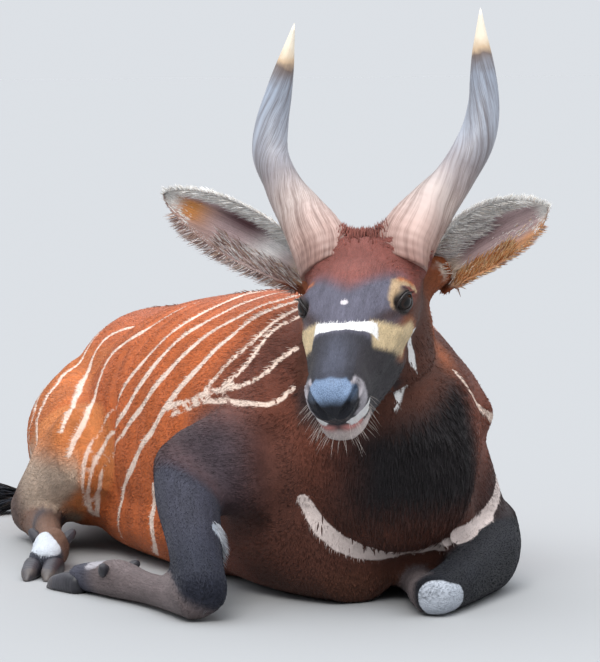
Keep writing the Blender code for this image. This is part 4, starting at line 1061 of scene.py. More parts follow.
# %% [markdown]
# ## Which way the hair lies
# Short hair lies like tiles on a roof: back from the nose over the crown, down the neck, back along the
# trunk and down the legs. Each line of stations gives directions along itself, and at any place on the
# skin the nearby directions are averaged with bell-shaped weights. The same weights tell how much a
# place belongs to each leg, to the neck or to an ear, which the painting below uses as well.

# %% Lines that lead the hair
def ear_rows(side_name, sign):
    """Line of an ear with its half width, in the body's frame."""
    t = np.linspace(0.08, 0.96, 8)
    line = from_head(ear_place(side_name, sign, t, 0.0 * t, 0.0 * t))
    return np.column_stack([line, np.interp(t, *np.array(EAR_LEAF).T)])


def reach_of(rows):
    """Stations cut down to place and mean half size."""
    rows = np.asarray(rows, float)
    return np.column_stack([rows[:, :3], rows[:, 3:6].mean(axis=1)]) if rows.shape[1] > 4 else rows


LINES = {
    "trunk": (TRUNK, 1.0), "neck": (NECK, -1.0), "head": (head_rows(SKULL), -1.0),
    "jaw": (head_rows(JAW), -1.0),
    "upper_right": (UPPER_ARM_RIGHT, 1.0), "upper_left": (UPPER_ARM_LEFT, 1.0),
    "forearm_right": (FOREARM_RIGHT, 1.0), "forearm_left": (FOREARM_LEFT, 1.0),
    "forefoot_right": (FOREFOOT_RIGHT, 1.0), "forefoot_left": (FOREFOOT_LEFT, 1.0),
    "shank_right": (SHANK_RIGHT, 1.0), "shank_left": (SHANK_LEFT, 1.0),
    "hindfoot_right": (HINDFOOT_RIGHT, 1.0), "hindfoot_left": (HINDFOOT_LEFT, 1.0), "tail": (TAIL, 1.0),
    "ear_right": (ear_rows("right", -1.0), 1.0), "ear_left": (ear_rows("left", 1.0), 1.0),
}
LINE_POINTS = 26


def field(points):
    """Directions, each line's share, the step along it and its place.

    Every line weighs exp(-3 (distance / width)^2), and the sums are shared out by weight."""
    total = np.full(len(points), 1e-9)
    lie, anchor = np.zeros_like(points), np.zeros_like(points)
    share, step = {}, {}
    for name, (rows, sense) in LINES.items():
        line = curve_through(reach_of(rows), LINE_POINTS)
        ahead = unit(np.gradient(line[:, :3], axis=0)) * sense
        gap = (points**2).sum(axis=1)[:, None] - 2.0 * points @ line[:, :3].T + (line[:, :3] ** 2).sum(axis=1)
        weight = np.exp(-3.0 * np.maximum(gap, 0.0) / line[:, 3] ** 2) + 1e-12
        mass = weight.sum(axis=1)
        total += mass
        lie += weight @ ahead
        anchor += weight @ line[:, :3]
        share[name] = mass
        step[name] = (weight @ np.linspace(0.0, 1.0, LINE_POINTS)) / mass
    share = {name: mass / total for name, mass in share.items()}
    return lie, share, step, anchor / total[:, None]


# %% Survey of places
def survey(points, normals):
    """All that the painting asks of each place: direction of the hair, shares, and its place on the head."""
    lie, share, step, anchor = field(points)
    lie = unit(lie)
    droop = np.clip(np.abs(points[:, 0]) / 0.25, 0.0, 1.0) * (points[:, 2] > 0.06)
    lie[:, 2] -= 0.55 * share["trunk"] * droop
    chest = (share["trunk"] * soft(-0.10, -0.20, points[:, 1]))[:, None]
    lie = lie * (1.0 - chest) + np.array([0.0, 0.1, -1.0]) * chest
    lie = unit(lie - normals * (lie * normals).sum(axis=1)[:, None])
    local = to_head(points)
    at = SimpleNamespace(points=points, normals=normals, lie=lie, share=share, step=step, local=local)
    at.grain = points - anchor
    at.grain = at.grain - 0.86 * lie * (at.grain * lie).sum(axis=1)[:, None]
    at.side, at.ahead, at.up = np.abs(local[:, 0]), local[:, 1], local[:, 2]
    ears = share["ear_left"] + share["ear_right"]
    at.head = soft(-0.075, -0.035, at.ahead) * soft(-0.255, -0.215, at.up)
    at.head = at.head * soft(0.125, 0.11, at.side) * (ears < 0.5)
    at.angle = np.arctan2(points[:, 2] - 0.21, np.abs(points[:, 0]))
    at.wet = np.zeros(len(points))
    return at


def tone(red, green, blue):
    """Linear colour from 0 to 255 values: the usual display curve undone."""
    value = np.array([red, green, blue]) / 255.0
    return np.where(value <= 0.04045, value / 12.92, ((value + 0.055) / 1.055) ** 2.4)


def paint(at, colour, mask):
    """Lays a colour over the ground by the mask."""
    at.ground = at.ground + (tone(*colour) - at.ground) * np.clip(mask, 0.0, 1.0)[:, None]


# %% [markdown]
# ## Colours of the coat
# The coat is painted in soft-edged patches, as a taxidermist tints a mount: a ground colour, and over it
# patches whose edges are smooth steps of a distance. The chestnut of the flank darkens over shoulder
# and neck, and the legs are slate with beige on the shanks.

# %% Body and legs
def paint_body(at):
    """Chestnut flank, paler haunch, a paler pinkish back that is painted sheen, dark shoulder and neck, and a
    dark chest whose front is partly painted shade.
    """
    share, y, z = at.share, at.points[:, 1], at.points[:, 2]
    x = np.abs(at.points[:, 0])
    at.ground = np.tile(tone(192, 100, 52), (len(y), 1))
    haunch = soft(0.42, 0.58, y) * soft(0.75, 0.55, np.abs(at.angle))
    paint(at, (196, 110, 54), haunch * 0.9)
    # painted sheen: the top of the back is painted paler and pinker, as light from the sky makes it look
    paint(at, (178, 106, 82), soft(0.75, 1.3, at.angle) * 0.6 * soft(-0.1, 0.1, y))
    paint(at, (150, 92, 62), soft(-0.45, -0.95, at.angle) * share["trunk"] * 0.55)
    fore = soft(0.085, -0.045, y + 0.55 * (z - 0.30))
    paint(at, (112, 62, 48), fore * (1.0 - haunch) * 0.92)
    paint(at, (70, 42, 34), soft(0.30, 0.12, z) * soft(0.02, -0.12, y) * 0.8)
    paint(at, (100, 66, 58), share["upper_right"] * 0.6)
    paint(at, (66, 60, 68), share["upper_right"] * soft(0.34, 0.24, z) * soft(0.16, 0.24, x) * 0.9)
    # painted shade: the low front of the left upper arm is painted darker than the right one's slate
    paint(at, (42, 34, 36), soft(0.30, 0.6, share["upper_left"]) * soft(0.24, 0.15, z)
          * soft(-0.20, -0.12, y) * 0.8)
    paint(at, (92, 50, 38), np.clip(share["neck"] * 1.3, 0.0, 1.0) * soft(0.02, -0.10, y) * 0.85)
    # the chest front and throat under the lowered head are painted near black: dark hair, deepened by painted
    # shade
    front = soft(-0.17, -0.235, y) * soft(0.10, 0.18, z)
    paint(at, (30, 26, 28), front * soft(0.17, 0.07, np.abs(at.points[:, 0] - 0.02)))
    paint(at, (84, 52, 38), soft(0.075, 0.03, z) * soft(0.0, -0.1, y) * soft(0.16, 0.06, x) * 0.7)


def paint_legs(at):
    """Slate forelegs, their blue cast partly painted sheen and the left one painted darker as shade, beige
    shanks, dark bands over the hooves, and the tail.
    """
    share, step = at.share, at.step
    for side in ("right", "left"):
        arm = soft(0.10, 0.72, share["forearm_" + side] + 0.45 * share["forefoot_" + side])
        # the right forearm's blue-grey slate is dark hair with painted sheen; the left foreleg gets the same
        # colours far darker, as painted shade
        paint(at, (60, 60, 72) if side == "right" else (24, 25, 32), arm)
        paint(at, (44, 46, 58) if side == "right" else (20, 22, 30),
              arm * soft(0.5, 0.9, step["forearm_" + side]))
        foot = soft(0.25, 0.6, share["forefoot_" + side])
        paint(at, (112, 100, 100), foot)
        paint(at, (72, 72, 84), foot * soft(0.78, 0.92, step["forefoot_" + side]))
        shank = soft(0.25, 0.6, share["shank_" + side])
        low = soft(0.195, 0.135, at.points[:, 2])
        paint(at, (204, 128, 74), shank * 0.8)
        outer = np.maximum(soft(0.284, 0.300, np.abs(at.points[:, 0])), soft(0.44, 0.50, at.points[:, 1]))
        low = low * outer
        paint(at, (188, 164, 144), shank * low)
        paint(at, (96, 74, 66), shank * low * soft(0.50, 0.85, step["shank_" + side]))
        foot = soft(0.25, 0.6, share["hindfoot_" + side])
        paint(at, (120, 92, 78), foot)
        paint(at, (78, 72, 76), foot * hump(step["hindfoot_" + side] - 0.34, 0.06) * 0.9)
        paint(at, (74, 76, 86), foot * soft(0.90, 0.97, step["hindfoot_" + side]))
    tail = soft(0.3, 0.6, share["tail"])
    paint(at, (150, 90, 56), tail)
    paint(at, (60, 44, 40), tail * soft(0.6, 0.95, step["tail"]))


# %% Head
CREAM = [(0.222, -0.016), (0.256, -0.040), (0.228, -0.064), (0.190, -0.092), (0.138, -0.126),
         (0.116, -0.104),
         (0.140, -0.066), (0.176, -0.056)]
BROW = np.array([(0.164, -0.030), (0.150, -0.0175), (0.132, -0.0115), (0.112, -0.0150), (0.096, -0.028),
                 (0.086, -0.044)])
LOWER_FACE = [(0.270, -0.030), (0.225, -0.062), (0.136, -0.128), (0.100, -0.190), (0.150, -0.230),
              (0.420, -0.200), (0.420, 0.0)]


def paint_head(at):
    """Red-brown crown, slate forehead, dark mask with a painted blue-grey sheen along the top of the muzzle,
    cream patches below and above the eyes, pale chin.
    """
    side, ahead, up, head = at.side, at.ahead, at.up, at.head
    profile, folded = np.stack([ahead, up], axis=1), np.stack([side, ahead, up], axis=1)
    paint(at, (88, 52, 40), head)
    paint(at, (150, 84, 52), head * soft(0.03, -0.02, ahead) * soft(0.05, 0.08, side))
    paint(at, (128, 66, 56), head * soft(-0.06, -0.035, up) * soft(0.20, 0.12, ahead))
    crown = soft(0.140, 0.070, ahead + 0.45 * side - 0.034 * hump(side, 0.040))
    slate = soft(-0.060, -0.035, up) * soft(0.080, 0.066, side) * (1.0 - crown) * soft(0.01, 0.06, ahead)
    paint(at, (92, 90, 104), head * slate * soft(0.30, 0.26, ahead))
    paint(at, (132, 78, 70), head * crown * soft(-0.075, -0.045, up) * soft(-0.03, -0.01, ahead))
    paint(at, (188, 160, 126),
          head * soft(0.0075, 0.0035, to_line(profile, BROW)) * soft(0.052, 0.060, side)
          * soft(-0.02, 0.0, at.local[:, 0]))
    rim = to_line(profile, BROW + (0.0, 0.008))
    paint(at, (190, 112, 62), head * hump(rim, 0.0045) * soft(0.058, 0.066, side) * 0.8)
    streak = to_line(folded, np.array([(0.066, 0.168, -0.036), (0.046, 0.222, -0.016)]))
    paint(at, (58, 42, 42), head * hump(streak, 0.011) * 0.95)
    mask = soft(0.252, 0.270, ahead + 0.25 * side) * soft(-0.20, -0.17, up)
    paint(at, (44, 42, 48), head * mask)
    paint(at, (44, 40, 44), head * soft(-0.010, 0.008, inside(profile, LOWER_FACE)) * (side > 0.03))
    # painted sheen: a blue-grey band along the middle of the muzzle's top stands in for the reflected sky
    paint(at, (96, 100, 118),
          head * mask * soft(0.20, 0.35, ahead) * hump(side, 0.022) * soft(-0.06, -0.02, up) * 0.55)
    cream = inside(profile, CREAM)
    paint(at, (214, 190, 150), head * soft(-0.006, 0.005, cream) * (side > 0.036))
    paint(at, (170, 104, 66),
          head * hump(cream + 0.004, 0.006) * (side > 0.05) * soft(0.20, 0.14, ahead) * 0.5)
    paint(at, (190, 176, 172), head * soft(-0.108, -0.116, up) * soft(0.285, 0.315, ahead))
    lips = to_line(folded, np.array([(0.030, 0.345, -0.108), (0.0, 0.372, -0.110)]))
    paint(at, (206, 140, 134), head * hump(lips, 0.0055))
    wing = to_line(np.stack([side, up], axis=1), np.array([(0.030, -0.040), (0.0395, -0.050),
                                                           (0.0425, -0.062), (0.039, -0.076),
                                                           (0.032, -0.084)]))
    paint(at, (176, 170, 176), head * soft(0.0055, 0.0030, wing) * soft(0.335, 0.345, ahead))


# %% Ears
def paint_ears(at):
    """Orange back with a dark edge, dark hollow, white rim above, white patch at the root."""
    for side_name, sign in (("left", 1.0), ("right", -1.0)):
        root, axis, facing, cross, length = ear_frame(side_name, sign)
        away = at.local - root
        t = away @ axis / length
        leaf = np.maximum(np.interp(t, *np.array(EAR_LEAF).T), 0.004)
        v = (away @ cross - sign * EAR_BOW * np.sin(math.pi * np.clip(t, 0.0, 1.0))) / leaf * sign
        mine = soft(0.35, 0.65, at.share["ear_" + side_name]) * soft(0.02, 0.12, t)
        hollow = mine * soft(0.15, 0.45, at.normals @ HEAD_AXES.T @ facing)
        behind = mine * (1.0 - hollow)
        paint(at, (176, 100, 58), behind)
        paint(at, (96, 60, 46), behind * soft(0.5, 0.95, np.abs(v)) * 0.6)
        paint(at, (186, 162, 162), hollow)
        paint(at, (94, 62, 66), hollow * hump(v - 0.16, 0.30)
              * hump(t - (0.52 if sign < 0 else 0.44), 0.20))
        paint(at, (250, 247, 243), hollow * soft(0.28, 0.60, v) * soft(0.05, 0.2, t))
        if sign < 0:
            paint(at, (244, 240, 238), hollow * hump(t - 0.31 + 0.10 * v, 0.095))
            paint(at, (206, 140, 80), hollow * hump(t - 0.83, 0.10) * soft(0.35, 0.0, v))
        paint(at, (240, 224, 204), hollow * soft(0.26, 0.10, t) * 0.9)
        paint(at, (170, 142, 136) if sign < 0 else (206, 146, 94), hollow * soft(-0.45, -0.8, v) * 0.85)
        paint(at, (240, 236, 230), mine * soft(0.86, 0.97, t) * soft(-0.6, 0.0, v + 0.4))


# %% [markdown]
# ## White marks
# White marks need a sharp, slightly ragged edge, so they aren't painted. Each place keeps its signed
# distance to the nearest mark, and the material draws the edge where that distance passes zero. The
# stripes run down the flank from the spine. Each is a smooth line through a few places on the body, and
# its width is measured along the skin, so that it keeps its breadth over folds.

# %% Stripes
STRIPES = [
    (0.0044, "both", [(0.0, 0.500, 0.430), (0.060, 0.520, 0.420), (0.105, 0.600, 0.385),
                      (0.115, 0.700, 0.352), (0.130, 0.745, 0.318),
                      (0.147, 0.735, 0.297), (0.170, 0.700, 0.280), (0.200, 0.645, 0.268),
                      (0.244, 0.534, 0.259), (0.271, 0.480, 0.244),
                      (0.303, 0.417, 0.230), (0.315, 0.407, 0.211)]),
    (0.0046, "both", [(0.0, 0.360, 0.440), (0.100, 0.350, 0.425), (0.170, 0.345, 0.395),
                      (0.197, 0.386, 0.364), (0.208, 0.425, 0.345),
                      (0.219, 0.450, 0.325), (0.232, 0.447, 0.302), (0.244, 0.446, 0.272),
                      (0.255, 0.435, 0.248), (0.270, 0.414, 0.230),
                      (0.285, 0.399, 0.211), (0.299, 0.391, 0.191), (0.309, 0.385, 0.172)]),
    (0.0036, "both", [(0.0, 0.800, 0.345), (0.080, 0.830, 0.325), (0.140, 0.815, 0.290),
                      (0.190, 0.770, 0.265), (0.220, 0.716, 0.257),
                      (0.245, 0.683, 0.245), (0.278, 0.625, 0.227), (0.294, 0.599, 0.212),
                      (0.309, 0.562, 0.195), (0.315, 0.539, 0.176)]),
    (0.0032, "both", [(0.120, 0.860, 0.260), (0.200, 0.800, 0.235), (0.250, 0.720, 0.220),
                      (0.283, 0.655, 0.205), (0.297, 0.641, 0.170),
                      (0.305, 0.600, 0.145)]),
    (0.0034, "both", [(0.0, 0.225, 0.455), (0.076, 0.212, 0.439), (0.117, 0.198, 0.429),
                      (0.143, 0.205, 0.416), (0.186, 0.228, 0.386),
                      (0.220, 0.261, 0.344), (0.242, 0.303, 0.295), (0.250, 0.332, 0.262),
                      (0.256, 0.372, 0.228), (0.267, 0.388, 0.198),
                      (0.283, 0.379, 0.165), (0.289, 0.375, 0.125), (0.270, 0.420, 0.085)]),
    (0.0036, "both", [(0.0, 0.105, 0.455), (0.093, 0.113, 0.441), (0.143, 0.135, 0.418),
                      (0.183, 0.172, 0.387), (0.216, 0.212, 0.345),
                      (0.240, 0.248, 0.295), (0.247, 0.274, 0.267), (0.253, 0.320, 0.228),
                      (0.255, 0.369, 0.194), (0.270, 0.375, 0.155),
                      (0.278, 0.373, 0.125), (0.268, 0.409, 0.095), (0.250, 0.440, 0.060)]),
    (0.0036, "both", [(0.0, 0.020, 0.455), (0.091, 0.024, 0.444), (0.145, 0.061, 0.417),
                      (0.172, 0.099, 0.393), (0.204, 0.137, 0.356),
                      (0.228, 0.180, 0.313), (0.245, 0.229, 0.264), (0.253, 0.297, 0.214),
                      (0.253, 0.350, 0.178), (0.257, 0.373, 0.145),
                      (0.258, 0.390, 0.110), (0.243, 0.436, 0.064)]),
    (0.0038, "both", [(0.0, -0.020, 0.455), (0.076, -0.012, 0.446), (0.129, 0.004, 0.423),
                      (0.160, 0.018, 0.400), (0.194, 0.056, 0.360),
                      (0.217, 0.100, 0.317), (0.233, 0.144, 0.274), (0.243, 0.190, 0.228),
                      (0.247, 0.230, 0.196), (0.247, 0.275, 0.155),
                      (0.240, 0.330, 0.118), (0.236, 0.355, 0.080), (0.223, 0.380, 0.034)]),
    (0.0030, "both", [(0.0, -0.050, 0.450), (0.088, -0.042, 0.435), (0.137, -0.040, 0.407),
                      (0.168, -0.034, 0.375), (0.193, -0.009, 0.346),
                      (0.212, 0.029, 0.309)]),
    (0.0030, "both", [(0.0, -0.085, 0.440), (0.096, -0.068, 0.426), (0.138, -0.056, 0.401),
                      (0.166, -0.060, 0.368), (0.188, -0.045, 0.336),
                      (0.202, -0.018, 0.316)]),
    (0.0033, "right", [(0.070, -0.150, 0.420), (0.118, -0.129, 0.387), (0.146, -0.114, 0.365),
                       (0.174, -0.104, 0.339), (0.190, -0.075, 0.325),
                       (0.202, -0.020, 0.313), (0.220, 0.059, 0.294), (0.234, 0.148, 0.269)]),
    (0.0031, "right", [(0.126, -0.174, 0.343), (0.151, -0.160, 0.319), (0.174, -0.150, 0.302),
                       (0.192, -0.120, 0.300), (0.203, -0.036, 0.297),
                       (0.220, 0.045, 0.286), (0.233, 0.123, 0.261)]),
    (0.0046, "both", [(0.238, 0.195, 0.140), (0.231, 0.210, 0.111), (0.232, 0.222, 0.085),
                      (0.226, 0.224, 0.048), (0.209, 0.256, 0.023)]),
    (0.0033, "left", [(0.076, -0.198, 0.385), (0.115, -0.196, 0.343), (0.185, -0.153, 0.271),
                      (0.205, -0.090, 0.262), (0.215, 0.000, 0.262),
                      (0.228, 0.100, 0.250)]),
]


STRIPE_WIDENING = 1.38


def stripe_distance(points, normals):
    """Signed distance to the nearest stripe: half width less the way to it along the skin."""
    best = np.full(len(points), -0.05)
    folded, facing = points.copy(), normals.copy()
    flip = points[:, 0] < 0.0
    folded[flip, 0] *= -1.0
    facing[flip, 0] *= -1.0
    for half, sides, rows in STRIPES:
        line = curve_through(np.array(rows), 3 * len(rows))
        near = ((folded > line.min(axis=0) - 0.02) & (folded < line.max(axis=0) + 0.02)).all(axis=1)
        near &= flip if sides == "right" else ~flip if sides == "left" else True
        rows = np.nonzero(near)[0]
        place, normal, least = folded[rows], facing[rows], np.full(len(rows), 1.0)
        reach = 0.013 + 0.033 * (normal[:, 2] > 0.6)
        for start, end in zip(line[:-1], line[1:]):
            step = end - start
            t = np.clip((place - start) @ step / (step @ step), 0.0, 1.0)
            away = place - start - t[:, None] * step
            lift = (away * normal).sum(axis=1)
            gap = (away**2).sum(axis=1) - 0.96 * np.minimum(np.abs(lift), reach) ** 2
            least = np.minimum(least, gap)
        wave = (1.0 + 0.12 * np.sin(place @ (61.0, 83.0, 97.0)) - 0.32 * soft(0.30, 0.20, place[:, 2])
                * (place[:, 1] > 0.3))
        best[rows] = np.maximum(best[rows], half * STRIPE_WIDENING * wave - np.sqrt(np.maximum(least, 0.0)))
    return best


# %% Chest band and spots
BAND = [(-0.138, -0.190, 0.156), (-0.116, -0.207, 0.120), (-0.087, -0.212, 0.095),
        (-0.054, -0.212, 0.081), (-0.018, -0.210, 0.073), (0.017, -0.205, 0.071), (0.060, -0.205, 0.080),
        (0.105, -0.202, 0.093), (0.136, -0.195, 0.101), (0.188, -0.150, 0.120), (0.206, -0.139, 0.138),
        (0.214, -0.120, 0.160)]
FACE_BAR = [(-0.042, 0.214), (-0.022, 0.230), (0.0, 0.239), (0.022, 0.231), (0.047, 0.212), (0.049, 0.235),
            (0.026, 0.250),
            (0.0, 0.255), (-0.022, 0.252), (-0.043, 0.238)]
CHEEK_SPOT = [(0.128, -0.088), (0.106, -0.096), (0.080, -0.126), (0.072, -0.156), (0.076, -0.188),
              (0.088, -0.160), (0.104, -0.122)]
JAW_SPOT = [(0.092, -0.199), (0.108, -0.201), (0.128, -0.210), (0.142, -0.224), (0.120, -0.220),
            (0.104, -0.212)]
LIP = [(0.012, -0.097), (0.022, -0.091), (0.034, -0.086), (0.044, -0.083), (0.054, -0.082),
       (0.055, -0.098), (0.040, -0.1045),
       (0.018, -0.1065)]
LEG_MARKS = [
    ("forearm_right", (-0.271, -0.196, 0.126), (-0.262, -0.182, 0.112), 0.013, (176, 184, 196)),
    ("forearm_left", (-0.010, -0.372, 0.030), (0.030, -0.345, 0.020), 0.030, (188, 194, 204)),
    ("forearm_right", (-0.330, -0.300, 0.006), (-0.325, -0.290, 0.004), 0.018, (206, 210, 216)),
    ("hindfoot_right", (-0.392, 0.300, 0.050), (-0.388, 0.262, 0.044), 0.024, (206, 212, 220)),
    ("hindfoot_left", (0.392, 0.300, 0.050), (0.388, 0.262, 0.044), 0.024, (206, 212, 220)),
    ("forefoot_right", (-0.380, 0.020, 0.045), (-0.386, 0.040, 0.038), 0.014, (176, 172, 178)),
    ("forefoot_left", (0.082, -0.090, 0.040), (0.076, -0.070, 0.038), 0.014, (176, 172, 178)),
]
PAD = [(0.0, -0.028), (0.022, -0.032), (0.033, -0.042), (0.037, -0.056), (0.033, -0.070), (0.026, -0.082),
       (0.018, -0.092),
       (0.009, -0.101), (0.0, -0.103), (-0.004, -0.06)]
NOSTRIL_LINE = curve_through(np.array(NOSTRIL), 12)[:, :3]


def marks(points, at):
    """Signed distance to the nearest white mark at each point, and that mark's colour."""
    share = at.share
    trunk = (share["trunk"] + share["neck"] + share["upper_right"] + share["upper_left"]
             + share["shank_right"] + share["shank_left"])
    mark = np.full(len(points), -0.05)
    rows = np.nonzero((trunk > 0.5) & (at.head < 0.5))[0]
    mark[rows] = stripe_distance(points[rows], at.normals[rows])
    pale = np.tile(tone(240, 216, 200), (len(points), 1))

    def add(rows, distance, colour):
        """Keeps the larger signed distance, and the mark's colour where it wins."""
        wins = rows[distance > mark[rows]]
        mark[wins] = distance[distance > mark[rows]]
        pale[wins] = tone(*colour)

    limbs = share["forearm_left"] + share["forearm_right"] + share["forefoot_left"] + share["forefoot_right"]
    rows = np.nonzero((limbs < 0.80) & (points[:, 1] < -0.08) & (points[:, 2] < 0.24))[0]
    add(rows, 0.0128 - to_line(points[rows], np.array(BAND)), (222, 206, 200))
    for name, start, end, reach, colour in LEG_MARKS:
        foot = share[name] + share[name.replace("forearm", "forefoot")] * ("forearm" in name)
        rows = np.nonzero(foot > 0.5)[0]
        add(rows, reach - to_line(points[rows], np.array([start, end])), colour)
    local = to_head(points)
    side, ahead, up = np.abs(local[:, 0]), local[:, 1], local[:, 2]
    rows = np.nonzero((at.head > 0.4) & (up > -0.06))[0]
    across = np.stack([local[rows, 0], ahead[rows]], axis=1)
    add(rows, inside(across, FACE_BAR), (238, 236, 234))
    add(rows, 0.0052 - to_line(across, np.array([(-0.003, 0.185), (-0.001, 0.187)])), (214, 206, 210))
    rows = np.nonzero((at.head > 0.2) & (side > 0.030))[0]
    profile = np.stack([ahead[rows], up[rows]], axis=1)
    seen = (side[rows] > 0.045) & (local[rows, 0] > 0.0)
    add(rows, np.where(seen, inside(profile, CHEEK_SPOT), -0.05), (240, 238, 236))
    add(rows, np.where(side[rows] < 0.09, inside(profile, JAW_SPOT), -0.05), (240, 238, 236))
    rows = np.nonzero((ahead > 0.322) & (at.head > 0.5))[0]
    add(rows, inside(np.stack([side[rows], up[rows]], axis=1), LIP), (232, 230, 230))
    mark = np.where(at.wet > 0.3, -0.05, mark)
    return np.clip(mark, -0.03, 0.03), pale


# %% Wet nose and lids
def wet_parts(at):
    """Bare wet skin: the nose pad, with a painted sky reflection in pale blue on its top, the nostrils,
    painted near black as shade, and a dark ring round each eye.
    """
    face = (at.head > 0.5) & (at.ahead > 0.30)
    pad = np.where(face, soft(-0.0015, 0.0015, inside(np.stack([at.side, at.up], axis=1), PAD))
                   * soft(0.330, 0.345, at.ahead), 0.0)
    paint(at, (30, 31, 38), pad)
    # painted sky reflection: the top of the wet nose pad is painted pale blue
    paint(at, (140, 164, 198), pad * soft(-0.064, -0.046, at.up) * soft(0.040, 0.026, at.side) * 0.85)
    nostril = to_line(np.stack([at.side, at.ahead, at.up], axis=1), NOSTRIL_LINE)
    # painted shade: the nostril openings are painted near black
    paint(at, (10, 9, 11), at.head * soft(0.0075, 0.0045, nostril))
    at.wet = np.maximum(pad, at.head * soft(0.0080, 0.0055, nostril))
    for sign in (1.0, -1.0):
        gaze, long_way, short_way = eye_directions(sign)
        step = at.points - eye_centre(sign)
        q = np.hypot(step @ long_way / ALMOND[0], step @ short_way / ALMOND[1])
        ring = soft(1.75, 1.25, q) * (np.linalg.norm(step, axis=1) < EYE_RADIUS + 0.010)
        ring = ring * (step @ gaze > 0.0)
        paint(at, (26, 18, 16), ring)
        at.wet = np.maximum(at.wet, ring * 0.7)


def coat_at(points, normals):
    """Survey and painting of any places on the coat."""
    at = survey(points, normals)
    for step in (paint_body, paint_legs, paint_head, paint_ears, wet_parts):
        step(at)
    return at


# %% Paint the skin
def near_stripe(points):
    """True within a short way of a stripe or of the chest band."""
    flank = (stripe_distance(points, np.zeros_like(points)) > -0.0022) & (to_head(points)[:, 1] < -0.05)
    chest = (points[:, 1] < -0.10) & (to_line(points, np.array(BAND)) < 0.016)
    return (flank & (points[:, 2] > 0.05) & (points[:, 1] > -0.20)) | chest


refine(skin, near_stripe, 0)
points, normals = points_of(skin), normals_of(skin)
skin_at = coat_at(points, normals)
mark, pale = marks(points, skin_at)
add_attribute(skin, "tint", "FLOAT_COLOR", np.column_stack([skin_at.ground, mark * 100.0]))
add_attribute(skin, "pale", "FLOAT_COLOR", np.column_stack([pale, skin_at.wet]))
add_attribute(skin, "grain", "FLOAT_VECTOR", skin_at.grain)
add_attribute(skin, "shade", "FLOAT", np.full(len(points), 0.35))
print("skin painted:", triangles_of(skin), "triangles, points in marks:", int((mark > 0).sum()), "wet:",
      int((skin_at.wet > 0.5).sum()))

# %% [markdown]
# ## An unwrap for baking
# A texture bake needs every bit of the skin to have its own place on a flat sheet. Blender's smart
# projection cuts the skin into islands by which way they face and packs them. Hair will take its place
# on the same sheet from the spot it grows from.

# %% Unwrap
def unwrap(obj):
    """Gives the mesh a packed unwrap named OFBake."""
    obj.data.uv_layers.new(name="OFBake")
    bpy.context.view_layer.objects.active = obj
    obj.select_set(True)
    bpy.ops.object.mode_set(mode="EDIT")
    bpy.ops.mesh.select_all(action="SELECT")
    bpy.ops.uv.smart_project(angle_limit=math.radians(66.0), island_margin=0.0008)
    bpy.ops.object.mode_set(mode="OBJECT")
    obj.select_set(False)


unwrap(skin)
skin_sheet = np.empty(len(skin.data.loops) * 2, np.float32)
skin.data.uv_layers["OFBake"].data.foreach_get("uv", skin_sheet)
skin_sheet = skin_sheet.reshape(-1, 2)
print("unwrapped", len(skin.data.loops), "corners")

# %% [markdown]
# ## Short hair
# Real hair could be grown as strands, but a solid model needs solid tufts. Each tuft of short hair is a
# thin closed wedge of four points: two at its root, one on its back and one at its tip. It lies along
# the skin in the direction found above. About two hundred thousand of them, 4 to 15 mm long, give the
# coat its broken sheen and its ragged edges between colours. They are longest on the neck and smallest
# on the muzzle and the feet.

# %% Mesh of many small faces
def quick_mesh(name, points, faces, sheet):
    """Mesh object from arrays of points, triangles and one unwrap place per point."""
    mesh = bpy.data.meshes.new(name)
    mesh.vertices.add(len(points))
    mesh.vertices.foreach_set("co", points.astype(np.float32).ravel())
    mesh.loops.add(faces.size)
    mesh.loops.foreach_set("vertex_index", faces.astype(np.int32).ravel())
    mesh.polygons.add(len(faces))
    mesh.polygons.foreach_set("loop_start", np.arange(0, faces.size, 3, dtype=np.int32))
    mesh.update(calc_edges=True)
    layer = mesh.uv_layers.new(name="OFBake")
    layer.data.foreach_set("uv", sheet[faces.ravel()].astype(np.float32).ravel())
    obj = bpy.data.objects.new(name, mesh)
    bpy.context.scene.collection.objects.link(obj)
    return obj


def hair_piece(name, points, faces, sheet, looks):
    """A mesh of hair with the coat's attributes."""
    points[:, 2] = np.maximum(points[:, 2], 0.0006)
    obj = quick_mesh(name, points, faces, sheet)
    add_attribute(obj, "tint", "FLOAT_COLOR", looks["tint"])
    add_attribute(obj, "pale", "FLOAT_COLOR", looks["pale"])
    add_attribute(obj, "grain", "FLOAT_VECTOR", looks["grain"])
    add_attribute(obj, "shade", "FLOAT", looks["shade"])
    return obj


# %% Places for the roots
def hair_size(at):
    """Length and width of a tuft: 10.8 mm on the trunk, 14.8 mm on the neck, less on legs, ears and face."""
    feet = sum(at.share[name] for name in LINES if "foot" in name)
    legs = sum(at.share[name] for name in LINES if "arm" in name or "shank" in name or name == "tail")
    ears = at.share["ear_left"] + at.share["ear_right"]
    length = 0.0108 + 0.0040 * at.share["neck"]
    for share, wanted in ((legs, 0.0080), (feet, 0.0062), (ears, 0.0062)):
        length = length + (wanted - length) * np.clip(share * 1.3, 0.0, 1.0)
    face = at.head * soft(0.30, 0.36, at.ahead)
    length = length + (0.0072 - length) * at.head
    length = length + (0.0040 - length) * face
    return length, length * (0.20 + 0.05 * at.head)


